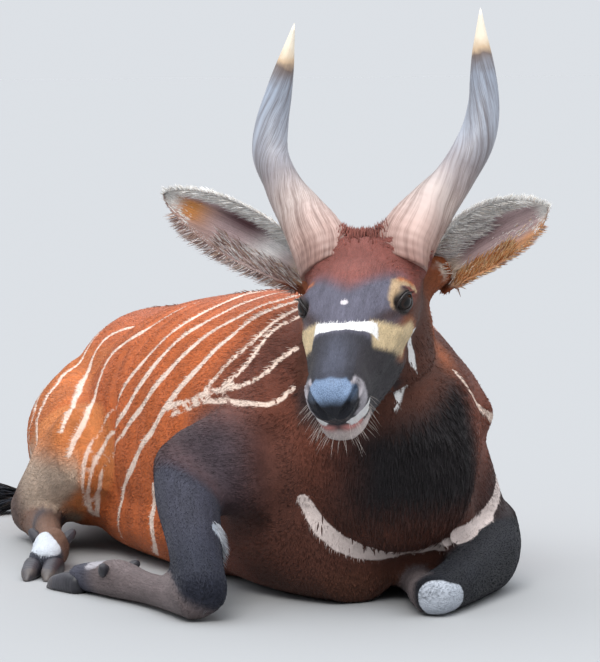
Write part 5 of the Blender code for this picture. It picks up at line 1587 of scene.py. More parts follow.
def scatter(obj, at, cover, seed):
    """Random places on triangles: area x cover / (half a tuft's length x width), none on wet skin."""
    draw = np.random.default_rng(seed)
    obj.data.calc_loop_triangles()
    corners = np.empty(len(obj.data.loop_triangles) * 3, np.int32)
    loops = np.empty_like(corners)
    obj.data.loop_triangles.foreach_get("vertices", corners)
    obj.data.loop_triangles.foreach_get("loops", loops)
    corners, loops = corners.reshape(-1, 3), loops.reshape(-1, 3)
    a, b, c = at.points[corners].transpose(1, 0, 2)
    area = np.linalg.norm(np.cross(b - a, c - a), axis=1) / 2.0
    length, width = hair_size(at)
    wanted = area * cover / (0.5 * length * width)[corners].mean(axis=1)
    wanted = wanted * (at.wet[corners].max(axis=1) < 0.35) * (at.points[corners, 2].mean(axis=1) > 0.004)
    which = np.repeat(np.arange(len(wanted)), np.floor(wanted + draw.random(len(wanted))).astype(int))
    u, v = np.sqrt(draw.random(len(which))), draw.random(len(which))
    weights = np.stack([1.0 - u, u * (1.0 - v), u * v], axis=1)[..., None]
    return ((at.points[corners[which]] * weights).sum(axis=1),
            unit((at.normals[corners[which]] * weights).sum(axis=1)),
            (skin_sheet[loops[which]] * weights).sum(axis=1), draw)


# %% Short tufts
def short_tufts(places, normals, sheet, draw):
    """Wedges: root pair half a width apart, back point at 0.42 of the length, tip lifted a little."""
    count = len(places)
    at = coat_at(places, normals)
    length, width = hair_size(at)
    length = length * draw.uniform(0.75, 1.25, count)
    width = width * draw.uniform(0.8, 1.2, count)
    side = np.cross(normals, at.lie)
    turn = draw.normal(0.0, 0.13, count) + 0.10 * np.sin(places @ (140.0, 90.0, 120.0))
    lie = at.lie * np.cos(turn)[:, None] + side * np.sin(turn)[:, None]
    side = np.cross(normals, lie)
    lift = 0.055 * length * draw.uniform(0.6, 1.3, count)
    across = side * (width / 2.0)[:, None]
    steps = [across, -across, lie * (0.42 * length)[:, None] + normals * lift[:, None],
             lie * length[:, None] + normals * (lift * draw.uniform(0.1, 1.3, count))[:, None]]
    sink = -0.0006 * normals
    points = np.stack([places + sink + steps[0], places + sink + steps[1], places + steps[2],
                       places + steps[3]], axis=1)
    start = np.arange(count)[:, None] * 4
    faces = np.concatenate([start + corner for corner in ([0, 1, 2], [0, 2, 3], [1, 3, 2], [1, 0, 3])])
    order = np.argsort(np.tile(np.arange(count), 4), kind="stable")
    faces = faces[order]
    # painted shade at the roots: each tuft is darker at its root and lighter at its tip, around a random tone
    # per tuft
    shade = np.stack([np.full(count, -0.06), np.full(count, -0.06), np.full(count, 0.04),
                      np.full(count, 0.12)], axis=1)
    shade = 0.52 + shade + draw.normal(0.0, 0.10, count)[:, None]
    tint, pale = np.empty((count, 4, 4)), np.empty((count, 4, 4))
    tint[:, :, :3] = at.ground[:, None]
    pale[:, :, 3] = (at.wet * 0.6)[:, None]
    root_mark, root_pale = marks(places, at)
    middle_mark, middle_pale = marks(points[:, 2], at)
    tint[:, :, 3] = np.maximum(root_mark, middle_mark)[:, None] * 100.0
    pale[:, :, :3] = np.where((middle_mark > root_mark)[:, None], middle_pale, root_pale)[:, None]
    offset = points - places[:, None]
    along = (offset * at.lie[:, None]).sum(axis=2, keepdims=True)
    grain = at.grain[:, None] + offset - 0.86 * at.lie[:, None] * along
    patch = np.array([(-0.0015, -0.0015), (0.0015, -0.0015), (0.0, 0.0), (0.0, 0.0015)])
    sheets = sheet[:, None] + patch[None]
    return points, faces, sheets, {"tint": tint, "pale": pale, "grain": grain, "shade": shade}


HAIR_COVER = 0.70
places, normals, sheet, draw = scatter(skin, skin_at, HAIR_COVER, 5)
order = np.argsort(np.round(places[:, 1], 1) * 10.0 + (places[:, 0] > 0.0) * 0.01, kind="stable")
places, normals, sheet = places[order], normals[order], sheet[order]
print("short tufts:", len(places))
hair = []
PER_PIECE = 48000
for start in range(0, len(places), PER_PIECE):
    part = slice(start, start + PER_PIECE)
    points, faces, sheets, looks = short_tufts(places[part], normals[part], sheet[part], draw)
    looks = {name: values.reshape(len(points) * 4, -1) for name, values in looks.items()}
    name = "short_hair_%d" % (len(hair) + 1)
    hair.append(hair_piece(name, points.reshape(-1, 3), faces, sheets.reshape(-1, 2), looks))
print("short hair:", [triangles_of(obj) for obj in hair])

# %% [markdown]
# ## Long hair
# The tail's brush, the low crest along the spine, the fringes of the ears, the dark hair of the throat
# and the hair round the horns are longer. Each lock is a tapered blade with a ridge: a profile of three
# points carried along a parabola, from its root to a point.

# %% Locks
LOCK_STEPS = 5


def locks(roots, lies, outs, length, width, bend, sheet, colour, draw, root_shade=-0.25):
    """Blades: place = root + lie L t + bend L t^2, half width (1 - t^1.6) W, ridge a third as high."""
    count = len(roots)
    lies, outs = unit(lies), unit(outs)
    t = np.linspace(0.0, 1.0, LOCK_STEPS + 1)[:-1][None, :, None]
    length = np.broadcast_to(length, count)[:, None, None]
    width = np.broadcast_to(width, count)[:, None, None] / 2.0
    bend = np.broadcast_to(bend, (count, 3))[:, None]
    middle = roots[:, None] + lies[:, None] * length * t + bend * length * t**2
    side = unit(np.cross(outs, lies))[:, None]
    over = np.cross(lies, side[:, 0])[:, None]
    half = width * (1.0 - t**1.6) * (0.75 + 0.5 * t)
    rings = np.stack([middle + side * half, middle - side * half, middle + over * half * 0.66], axis=2)
    tips = roots + (lies + bend[:, 0]) * length[:, 0]
    points = np.concatenate([rings.reshape(count, -1, 3), tips[:, None]], axis=1)
    faces = [[0, 1, 2]]
    for ring in range(LOCK_STEPS - 1):
        low, high = ring * 3, ring * 3 + 3
        for first, second in ((0, 2), (2, 1), (1, 0)):
            faces += [[low + first, low + second, high + second],
                      [low + first, high + second, high + first]]
    last = (LOCK_STEPS - 1) * 3
    faces += [[last, last + 2, last + 3], [last + 2, last + 1, last + 3], [last + 1, last, last + 3]]
    size = LOCK_STEPS * 3 + 1
    faces = (np.array(faces)[None] + np.arange(count)[:, None, None] * size).reshape(-1, 3)
    at = np.concatenate([np.repeat(np.linspace(0.0, 1.0, LOCK_STEPS + 1)[:-1], 3), [1.0]])
    colour = np.broadcast_to(colour, (count, 3))
    tint = np.concatenate([np.repeat(colour[:, None], size, axis=1), np.full((count, size, 1), -3.0)],
                          axis=2)
    pale = np.concatenate([np.repeat(colour[:, None], size, axis=1), np.zeros((count, size, 1))], axis=2)
    offset = points - roots[:, None]
    along = (offset * lies[:, None]).sum(axis=2, keepdims=True)
    grain = roots[:, None] + offset - 0.86 * lies[:, None] * along
    # painted shade at the roots: root_shade darkens each lock towards its root, around a random tone per lock
    shade = 0.55 + root_shade * (1.0 - at)[None] + draw.normal(0.0, 0.16, count)[:, None]
    patch = np.stack([0.0015 * np.cos(at * 5.0), 0.003 * (at - 0.5)], axis=1)
    looks = {"tint": tint, "pale": pale, "grain": grain, "shade": shade}
    return points, faces, sheet[:, None] + patch[None], looks


def lock_piece(name, sets):
    """Joins sets of locks to one piece."""
    points, faces, sheets, start = [], [], [], 0
    looks = {"tint": [], "pale": [], "grain": [], "shade": []}
    for one_points, one_faces, one_sheet, one_looks in sets:
        points.append(one_points.reshape(-1, 3))
        sheets.append(one_sheet.reshape(-1, 2))
        faces.append(one_faces + start)
        start += one_points.shape[0] * one_points.shape[1]
        for key, value in one_looks.items():
            looks[key].append(value.reshape(one_points.shape[0] * one_points.shape[1], -1))
    looks = {key: np.concatenate(value) for key, value in looks.items()}
    return hair_piece(name, np.concatenate(points), np.concatenate(faces), np.concatenate(sheets), looks)


# %% Roots of long hair
def pick(mask, count, seed):
    """Random skin points where the mask is high, moved within their squares."""
    draw = np.random.default_rng(seed)
    chance = np.clip(mask, 0.0, None) * point_area
    rows = draw.choice(len(mask), size=count, p=chance / chance.sum())
    jitter = draw.normal(0.0, 1.0, (count, 3)) * np.sqrt(point_area[rows])[:, None] * 0.35
    normals = skin_at.normals[rows]
    jitter -= normals * (jitter * normals).sum(axis=1)[:, None]
    return skin_at.points[rows] + jitter - normals * 0.0008, normals, point_sheet[rows], rows, draw


corner_points = np.empty(len(skin.data.loops), np.int32)
skin.data.loops.foreach_get("vertex_index", corner_points)
point_sheet = np.zeros((len(skin.data.vertices), 2))
point_sheet[corner_points] = skin_sheet
skin.data.calc_loop_triangles()
corners = np.empty(len(skin.data.loop_triangles) * 3, np.int32)
skin.data.loop_triangles.foreach_get("vertices", corners)
corners = corners.reshape(-1, 3)
a, b, c = skin_at.points[corners].transpose(1, 0, 2)
area = np.linalg.norm(np.cross(b - a, c - a), axis=1) / 6.0
point_area = np.bincount(corners.ravel(), np.repeat(area, 3), len(skin_at.points))
print("skin area", round(float(point_area.sum()), 2), "square metres")

# %% Ear fringes
def ear_locks(side_name, sign):
    """White rim hair, pale hair over the hollow from its inner edge, and ragged grey-brown hair below."""
    _, axis, facing, cross, _ = ear_frame(side_name, sign)
    draw = np.random.default_rng(21 if sign > 0 else 22)
    turn = np.stack([axis, facing, cross * sign]) @ HEAD_AXES
    ahead, out, outer = turn
    sets = []
    right = side_name == "right"

    def row(count, t, v, lie, size, width, bend, colours):
        """One band of locks on the ear: t and v are limits, lie the direction by axis, facing and cross."""
        at_t, at_v = draw.uniform(*t, count), draw.uniform(*v, count)
        places = from_head(ear_place(side_name, sign, at_t, at_v * sign, np.full(count, 0.002)))
        way = lie[0] * ahead + lie[1] * out + lie[2] * outer
        ways = unit(way + draw.normal(0.0, 0.11, (count, 3)))
        near = ((skin_at.points[ear_rows_of] - places[:, None]) ** 2).sum(axis=2).argmin(axis=1)
        colour = np.array([tone(*c) for c in colours])[draw.integers(0, len(colours), count)]
        bends = bend[0] * ahead + bend[1] * out + bend[2] * outer
        sets.append(locks(places, ways, np.tile(out, (count, 1)), draw.uniform(0.7, 1.25, count) * size,
                          width, bends,
                          point_sheet[ear_rows_of][near], colour, draw, -0.15))

    ear_rows_of = np.nonzero(skin_at.share["ear_" + side_name] > 0.5)[0][::7]
    white = [(255, 254, 251), (252, 249, 245), (244, 238, 230)]
    grey = [(214, 206, 206), (232, 228, 225), (186, 170, 170), (246, 243, 240)]
    low = [(166, 138, 128), (186, 156, 140), (138, 110, 104), (216, 202, 200)]
    gold = [(206, 148, 92), (190, 120, 66), (224, 190, 146)]
    row(760, (0.10, 1.0), (0.86, 1.0), (0.70, 0.20, 0.45), 0.0095, 0.0016, (0.3, 0.0, 0.0), white)
    row(300, (0.80, 1.0), (-0.9, 0.9), (0.9, 0.15, 0.1), 0.009, 0.0016, (0.0, 0.0, 0.1), white)
    row(700, (0.12, 0.90), (0.50, 0.92), (0.75, 0.16, -0.45), 0.014, 0.0016, (0.2, 0.0, -0.1), white)
    row(560, (0.10, 0.90), (-1.0, -0.88), (0.60, 0.12, -0.75) if right else (0.75, 0.15, -0.35),
        0.0150 if right else 0.0100, 0.0016, (0.2, 0.0, -0.1), low if right else gold + low[:2])
    row(420, (0.10, 0.62), (-0.95, -0.55), (0.75, 0.16, 0.30), 0.014, 0.0016, (0.3, 0.0, 0.1),
        low + grey[:2] if right else gold)
    row(320, (0.04, 0.24), (-0.8, 0.9), (0.85, 0.20, 0.10), 0.016, 0.0018, (0.2, -0.1, 0.0),
        white + gold[:1])
    if right:
        row(420, (0.22, 0.38), (-0.6, 0.8), (0.80, 0.16, -0.45), 0.014, 0.0016, (0.1, 0.0, -0.2),
            white + grey[3:])
        row(700, (0.22, 0.86), (-1.0, -0.80), (0.30, 0.08, -1.0), 0.022, 0.0017, (0.25, 0.0, 0.15),
            low + grey[:2])
        row(200, (0.76, 0.92), (-0.7, 0.2), (0.80, 0.15, -0.20), 0.008, 0.0016, (0.1, 0.0, -0.1), gold)
    else:
        row(620, (0.08, 0.55), (0.25, 0.85), (0.70, 0.22, -0.50), 0.021, 0.0016, (0.3, -0.1, 0.0),
            grey + white)
        row(220, (0.40, 0.80), (-0.6, -0.2), (0.85, 0.15, 0.10), 0.011, 0.0016, (0.1, 0.0, 0.0),
            white[1:] + gold[2:])
    return sets


ear_hair = [lock_piece("ear_fringe_" + side_name, ear_locks(side_name, sign))
            for side_name, sign in (("left", 1.0), ("right", -1.0))]
print("ear fringes:", [triangles_of(obj) for obj in ear_hair])

# %% Crest, throat and crown
def along_lie(mask, count, seed, length, width, rise, colour=None, spread=0.16, gain=1.0):
    """Locks that follow the hair's direction, raised by the angle whose tangent is rise."""
    places, normals, sheet, rows, draw = pick(mask, count, seed)
    ways = (skin_at.lie[rows] + normals * rise * draw.uniform(0.6, 1.3, count)[:, None]
            + draw.normal(0.0, spread, (count, 3)))
    tints = skin_at.ground[rows] * gain if colour is None else np.tile(tone(*colour), (count, 1))
    return locks(places, ways, normals, length * draw.uniform(0.7, 1.2, count), width, -0.10 * normals,
                 sheet, tints, draw)


points, share = skin_at.points, skin_at.share
ridge = hump(points[:, 0], 0.012) * soft(0.5, 0.9, skin_at.normals[:, 2])
ridge = ridge * soft(0.02, 0.10, points[:, 1]) * soft(0.88, 0.80, points[:, 1])
throat = np.clip(share["neck"] + 0.5 * share["trunk"], 0.0, 1.0) * soft(-0.19, -0.24, points[:, 1])
throat = throat * (skin_at.head < 0.3)
throat = throat * hump(points[:, 0] - 0.02, 0.085) * soft(0.06, 0.14, points[:, 2])
jaw = skin_at.head * soft(-0.118, -0.135, skin_at.up) * soft(0.30, 0.25, skin_at.ahead)
belly = share["trunk"] * soft(-0.75, -1.0, skin_at.angle) * soft(-0.05, 0.05, points[:, 1])
belly = belly * soft(0.015, 0.03, points[:, 2])
local = to_head(points)
horn_root = np.minimum(*[to_line(local * (sign, 1.0, 1.0), SHORT_PEDICLE[:, :3]) for sign in (1.0, -1.0)])
crown = soft(0.066, 0.054, horn_root) * soft(-0.050, -0.030,
                                             local[:, 2]) * (share["ear_left"] + share["ear_right"] < 0.3)
elbow = (soft(0.022, 0.010, to_line(points, np.array([(-0.262, -0.186, 0.122), (-0.250, -0.176, 0.092)])))
         * (share["forearm_right"] > 0.3))
places, normals, sheet, rows, draw = pick(elbow, 260, 36)
ways = 0.8 * skin_at.lie[rows] + np.array([0.55, -0.10, -0.30]) + draw.normal(0.0, 0.14, (260, 3))
elbow_hair = locks(places, ways, normals, 0.018 * draw.uniform(0.6, 1.2, 260), 0.0020,
                   np.array([0.0, 0.0, -0.2]), sheet, tone(196, 200, 208), draw)
between = skin_at.head * soft(0.052, 0.040, np.abs(local[:, 0]))
between = between * hump(local[:, 1] + 0.004, 0.016) * soft(-0.04, -0.02, local[:, 2])
places, normals, sheet, rows, draw = pick(between, 900, 37)
ways = UP * 0.9 + 0.45 * skin_at.lie[rows] + draw.normal(0.0, 0.16, (900, 3))
forelock = locks(places, ways, -skin_at.lie[rows], 0.017 * draw.uniform(0.6, 1.15, 900), 0.0026,
                 0.25 * skin_at.lie[rows], sheet, tone(136, 80, 70), draw, -0.1)
crest = along_lie(ridge, 900, 31, 0.024, 0.0030, 0.10, (122, 70, 48), 0.08)
# the throat locks take the ground colour, with the painted shade of the throat
throat_hair = along_lie(throat, 2600, 32, 0.019, 0.0030, 0.16, None, 0.12)
jaw_hair = along_lie(jaw, 500, 33, 0.012, 0.0022, 0.25, None, 0.15)
belly_hair = along_lie(belly, 1300, 34, 0.018, 0.0032, 0.14, None, 0.14)
crown_hair = along_lie(crown, 1100, 35, 0.0080, 0.0018, 0.22, (146, 82, 70), 0.18)
long_hair = [
    lock_piece("long_hair_head_and_throat", [forelock, crown_hair, jaw_hair, throat_hair]),
    lock_piece("long_hair_trunk", [elbow_hair, crest, belly_hair]),
]
print("long hair:", [triangles_of(obj) for obj in long_hair])

# %% Tail tuft
def tail_brush(count, seed):
    """Locks in a close spiral round the tail's end, fanning back and drooping to the floor."""
    draw = np.random.default_rng(seed)
    line = curve_through(TUFT_CORE, 60)
    at = draw.integers(2, 58, count)
    ahead = unit(np.gradient(line[:, :3], axis=0))[at]
    side = unit(np.cross(ahead, UP))
    turn = draw.uniform(-0.4, math.pi + 0.4, count)[:, None]
    spread = side * np.cos(turn) + np.cross(side, ahead) * np.sin(turn)
    roots = line[at, :3] + spread * line[at, 3:4] * 0.55
    ways = unit(ahead + spread * draw.uniform(0.10, 0.60, (count, 1)))
    size = 0.082 * draw.uniform(0.6, 1.12, count) * (1.12 - 0.45 * at / 58.0)
    colour = np.array([tone(*c) for c in ((30, 34, 42), (20, 22, 28), (44, 48, 58),
                                          (36, 28, 26))])[draw.integers(0, 4, count)]
    near = ((skin_at.points[tail_rows_of] - roots[:, None]) ** 2).sum(axis=2).argmin(axis=1)
    return locks(roots, ways, spread, size, 0.0052, np.array([0.0, 0.0, -0.16]),
                 point_sheet[tail_rows_of][near], colour, draw)


tail_rows_of = np.nonzero(share["tail"] > 0.5)[0][::5]
brush = lock_piece("tail_brush", [tail_brush(1100, 41)])
print("tail brush:", triangles_of(brush))

# %% Whiskers and lashes
def whiskers(seed):
    """Thin pale hairs from lips and chin, and short dark lashes from the upper lids."""
    draw = np.random.default_rng(seed)
    sets = []
    for sign in (1.0, -1.0):
        for low, high, count, reach in (((0.020, 0.372, -0.098), (0.046, 0.318, -0.086), 15, 0.028),
                                        ((0.004, 0.366, -0.124), (0.040, 0.312, -0.132), 15, 0.024)):
            spots = np.linspace(low, high, count) + draw.normal(0.0, 0.0035, (count, 3))
            near = ((skin_at.local[face_rows] - (spots * (sign, 1.0,
                                                          1.0))[:, None]) ** 2).sum(axis=2).argmin(axis=1)
            rows = face_rows[near]
            ways = skin_at.normals[rows] + (np.array([0.25 * sign, 0.35, -0.55])
                                            @ HEAD_AXES) + draw.normal(0.0, 0.16, (count, 3))
            size = reach * draw.uniform(0.5, 1.3, count)
            sets.append(locks(skin_at.points[rows] - skin_at.normals[rows] * 0.001, ways,
                              skin_at.lie[rows], size, 0.00055, np.array([0.0, 0.0, -0.22]),
                              point_sheet[rows], tone(226, 214, 206), draw, 0.0))
        gaze, long_way, short_way = eye_directions(sign)
        upward = short_way * (1.0 if short_way @ HEAD_AXES[2] > 0.0 else -1.0)
        turn = np.linspace(0.35, math.pi - 0.25, 22)[:, None]
        x, y = ALMOND[0] * np.cos(turn), ALMOND[1] * np.sin(turn)
        roots = (eye_centre(sign) + x * long_way + y * upward + gaze
                 * np.sqrt(np.maximum((EYE_RADIUS + 0.0022) ** 2 - x**2 - y**2, 0.0)))
        ways = gaze * 0.9 + upward * 0.5 + long_way * np.cos(turn) * 0.5 + draw.normal(0.0, 0.06, (22, 3))
        near = ((skin_at.points[face_rows] - roots[:, None]) ** 2).sum(axis=2).argmin(axis=1)
        sets.append(locks(roots, ways, np.tile(long_way, (22, 1)), 0.0085, 0.0008, -0.5 * HEAD_AXES[2],
                          point_sheet[face_rows][near], tone(24, 18, 18), draw))
    return sets


face_rows = np.nonzero(skin_at.head > 0.5)[0][::3]
fine_hair = lock_piece("whiskers_and_lashes", whiskers(51))
print("whiskers:", triangles_of(fine_hair))

# %% [markdown]
# ## Materials
# Every finish is worked out by nodes, so that it has detail at any distance. A small helper keeps the
# node trees short: it adds a node, sets its values and links its inputs. Colours are linear values.

# %% Node helpers
def new_material(name, roughness, specular=0.5):
    """A material with its own shader: returns the material, its nodes and the shader."""
    material = bpy.data.materials.new(name)
    material.use_nodes = True
    shader = material.node_tree.nodes["Principled BSDF"]
    shader.inputs["Roughness"].default_value = roughness
    shader.inputs["Specular IOR Level"].default_value = specular
    return material, material.node_tree, shader


def node(tree, kind, **settings):
    """Adds a node and sets its properties."""
    made = tree.nodes.new(kind)
    for key, value in settings.items():
        setattr(made, key, value)
    return made


def wire(tree, source, target):
    """Links an output to an input, or sets the input where the source is a plain value."""
    if hasattr(source, "is_linked"):
        tree.links.new(source, target)
    elif source is not None:
        target.default_value = source


def maths(tree, operation, first, second=None, third=None, clamp=False):
    """A Math node's result."""
    made = node(tree, "ShaderNodeMath", operation=operation, use_clamp=clamp)
    for socket, value in zip(made.inputs, (first, second, third)):
        wire(tree, value, socket)
    return made.outputs[0]


def blend_of(tree, share, first, second, mode="MIX"):
    """Mixed colour of two colours."""
    made = node(tree, "ShaderNodeMix", data_type="RGBA", blend_type=mode, clamp_factor=True)
    wire(tree, share, made.inputs[0])
    wire(tree, first, made.inputs[6])
    wire(tree, second, made.inputs[7])
    return made.outputs[2]


def read_attribute(tree, name):
    """The attribute node of that name."""
    return node(tree, "ShaderNodeAttribute", attribute_name=name)


def noise(tree, vector, scale, detail=3.0, roughness=0.55):
    """Noise value at a vector."""
    made = node(tree, "ShaderNodeTexNoise")
    wire(tree, vector, made.inputs["Vector"])
    made.inputs["Scale"].default_value = scale
    made.inputs["Detail"].default_value = detail
    made.inputs["Roughness"].default_value = roughness
    return made.outputs["Fac"]


def ramp(tree, value, stops):
    """Colour ramp through (place, (r, g, b)) stops."""
    made = node(tree, "ShaderNodeValToRGB")
    while len(made.color_ramp.elements) < len(stops):
        made.color_ramp.elements.new(0.5)
    for element, (at, colour) in zip(made.color_ramp.elements, stops):
        element.position = at
        element.color = (*colour, 1.0)
    wire(tree, value, made.inputs[0])
    return made.outputs[0]


def span(tree, value, low, high, start=0.0, end=1.0):
    """Value moved from one range to another with a smooth step."""
    made = node(tree, "ShaderNodeMapRange", interpolation_type="SMOOTHSTEP")
    for socket, number in zip(made.inputs, (value, low, high, start, end)):
        wire(tree, number, socket)
    return made.outputs[0]


def bump(tree, height, strength, distance, normal=None):
    """Bump node's normal."""
    made = node(tree, "ShaderNodeBump")
    made.inputs["Strength"].default_value = strength
    made.inputs["Distance"].default_value = distance
    wire(tree, height, made.inputs["Height"])
    if normal is not None:
        wire(tree, normal, made.inputs["Normal"])
    return made.outputs[0]


def plain(red, green, blue):
    """Linear colour with alpha, from 0 to 255 values."""
    return (*(float(v) for v in tone(red, green, blue)), 1.0)


# %% [markdown]
# ## The coat's material
# One material serves the skin and all the hair on it. Painted colour comes from the attribute "tint",
# and fine streaks that run with the hair from noise on "grain", a place whose length along the hair is
# shortened. The white marks are drawn where the signed distance, roughened by the same streaks, is
# above zero. Bare wet skin at nose and lids is smooth, pebbled and glossy.

# %% Coat
def make_coat(name):
    """Streaky hair colour with white marks, bump along the hair, and a wet, pebbled nose."""
    material, tree, shader = new_material(name, 0.62, 0.17)
    tint, pale_part = read_attribute(tree, "tint"), read_attribute(tree, "pale")
    grain_part, shade = read_attribute(tree, "grain"), read_attribute(tree, "shade")
    wet_part = pale_part.outputs["Alpha"]
    fine = noise(tree, grain_part.outputs["Vector"], 620.0, 3.0, 0.65)
    broad = noise(tree, grain_part.outputs["Vector"], 120.0, 2.0, 0.5)
    place_part = node(tree, "ShaderNodeTexCoord").outputs["Object"]
    patchy = noise(tree, place_part, 14.0, 3.0, 0.55)
    level = maths(tree, "ADD", maths(tree, "MULTIPLY", fine, 0.62), maths(tree, "MULTIPLY", broad, 0.38))
    light = span(tree, level, 0.30, 0.72, 0.72, 1.30)
    light = maths(tree, "MULTIPLY", light, span(tree, patchy, 0.25, 0.75, 0.84, 1.16))
    light = maths(tree, "MULTIPLY", light, span(tree, shade.outputs["Fac"], 0.0, 1.0, 0.70, 1.20))
    grey = node(tree, "ShaderNodeCombineColor")
    for socket in grey.inputs[:3]:
        wire(tree, light, socket)
    hair = blend_of(tree, 1.0, tint.outputs["Color"], grey.outputs[0], "MULTIPLY")
    ragged = maths(tree, "MULTIPLY", maths(tree, "SUBTRACT", fine, 0.5), 0.36)
    ragged = maths(tree, "ADD", ragged, maths(tree, "MULTIPLY", maths(tree, "SUBTRACT", broad, 0.5), 0.24))
    edge = span(tree, maths(tree, "ADD", tint.outputs["Alpha"], ragged), -0.12, 0.16)
    soft_white = span(tree, level, 0.25, 0.75, 0.78, 1.06)
    grey_two = node(tree, "ShaderNodeCombineColor")
    for socket in grey_two.inputs[:3]:
        wire(tree, soft_white, socket)
    white = blend_of(tree, 1.0, pale_part.outputs["Color"], grey_two.outputs[0], "MULTIPLY")
    dry = blend_of(tree, edge, hair, white)
    pebble = node(tree, "ShaderNodeTexVoronoi", feature="F1")
    wire(tree, place_part, pebble.inputs["Vector"])
    pebble.inputs["Scale"].default_value = 640.0
    # the pebble pattern raises the bump and darkens the grooves between pebbles as painted shade
    pebble_relief_and_groove_shade = span(tree, pebble.outputs["Distance"], 0.15, 0.75, 1.0, 0.58)
    grey_three = node(tree, "ShaderNodeCombineColor")
    for socket in grey_three.inputs[:3]:
        wire(tree, pebble_relief_and_groove_shade, socket)
    damp = blend_of(tree, 1.0, tint.outputs["Color"], grey_three.outputs[0], "MULTIPLY")
    wire(tree, blend_of(tree, wet_part, dry, damp), shader.inputs["Base Color"])
    wire(tree, span(tree, wet_part, 0.2, 0.9, 0.62, 0.24), shader.inputs["Roughness"])
    height = maths(tree, "MULTIPLY", level, maths(tree, "SUBTRACT", 1.0, wet_part))
    height = maths(tree, "ADD", height, maths(tree, "MULTIPLY", maths(tree, "MULTIPLY", pebble_relief_and_groove_shade, wet_part),
                                              0.5))
    wire(tree, bump(tree, height, 0.75, 0.0022), shader.inputs["Normal"])
    shader.inputs["Sheen Weight"].default_value = 0.05
    shader.inputs["Sheen Roughness"].default_value = 0.45
    return material


coat = make_coat("striped_coat")
coat_pieces = [skin, *hair, *ear_hair, *long_hair, brush, fine_hair]
for obj in coat_pieces:
    obj.data.materials.clear()
    obj.data.materials.append(coat)
print("coat nodes:", len(coat.node_tree.nodes), "triangles in the coat:",
      sum(triangles_of(obj) for obj in coat_pieces))

# %% [markdown]
# ## Horn, hoof and eye materials
# Horn is layered like a fingernail: streaked along its length, ridged at the base, and worn to smooth
# ivory at the tip. Hoof horn is darker, with rings round it. The eye is nearly black, with a brown iris
# and a level pupil under a clear, glossy surface.

# %% Horn
def make_horn_finish():
    """Colour by the step along the horn, with painted sky reflection in blue-grey on its upper part, streaked
    lengthwise and with painted shade in its hollows, ivory tip.
    """
    material, tree, shader = new_material("streaked_horn", 0.42, 0.45)
    along = read_attribute(tree, "along").outputs["Fac"]
    ridge = read_attribute(tree, "ridge").outputs["Fac"]
    grain_part = read_attribute(tree, "grain").outputs["Vector"]
    place_part = node(tree, "ShaderNodeTexCoord").outputs["Object"]
    streak = noise(tree, grain_part, 4.5, 5.0, 0.62)
    fine = noise(tree, grain_part, 26.0, 4.0, 0.65)
    cloud = noise(tree, place_part, 22.0, 3.0, 0.6)
    wander = maths(tree, "MULTIPLY_ADD", maths(tree, "SUBTRACT", cloud, 0.5), 0.10, along)
    # the blue-grey stops on the upper horn are painted sky reflection over the horn's own tone
    body = ramp(tree, wander, [
        (0.00, tone(152, 116, 106)), (0.10, tone(196, 166, 156)), (0.26, tone(196, 180, 174)),
        (0.42, tone(150, 144, 148)),
        (0.58, tone(166, 172, 184)), (0.78, tone(160, 170, 186)), (0.855, tone(118, 104, 98)),
        (0.885, tone(206, 178, 146)),
        (0.93, tone(243, 230, 208)), (1.00, tone(246, 236, 218))])
    dark = blend_of(tree, 1.0, body, plain(140, 118, 108), "MULTIPLY")
    share = span(tree, streak, 0.42, 0.70, 0.0, 0.62)
    share = maths(tree, "MULTIPLY", share, span(tree, along, 0.82, 0.90, 1.0, 0.08))
    colour = blend_of(tree, share, body, dark)
    # painted shade: away from the keel the horn is darkened, as in its hollows
    hollow = maths(tree, "MULTIPLY", span(tree, ridge, 0.0, 0.35, 1.0, 0.0),
                   span(tree, fine, 0.40, 0.62, 0.10, 0.55))
    hollow = maths(tree, "MULTIPLY", hollow, span(tree, along, 0.80, 0.88, 1.0, 0.0))
    colour = blend_of(tree, hollow, colour, blend_of(tree, 1.0, colour, plain(150, 128, 116), "MULTIPLY"))
    wire(tree, colour, shader.inputs["Base Color"])
    rings = node(tree, "ShaderNodeTexWave", wave_type="BANDS", bands_direction="Z")
    wire(tree, grain_part, rings.inputs["Vector"])
    rings.inputs["Scale"].default_value = 8.0
    rings.inputs["Distortion"].default_value = 4.0
    ringed = maths(tree, "MULTIPLY", rings.outputs["Fac"], span(tree, along, 0.0, 0.45, 0.55, 0.0))
    height = maths(tree, "ADD", maths(tree, "ADD", streak, maths(tree, "MULTIPLY", fine, 0.5)), ringed)
    wire(tree, bump(tree, height, 0.35, 0.0008), shader.inputs["Normal"])
    wire(tree, span(tree, fine, 0.3, 0.7, 0.36, 0.52), shader.inputs["Roughness"])
    return material


horn_finish = make_horn_finish()
for obj in horns.values():
    obj.data.materials.append(horn_finish)
print("horn finish made")

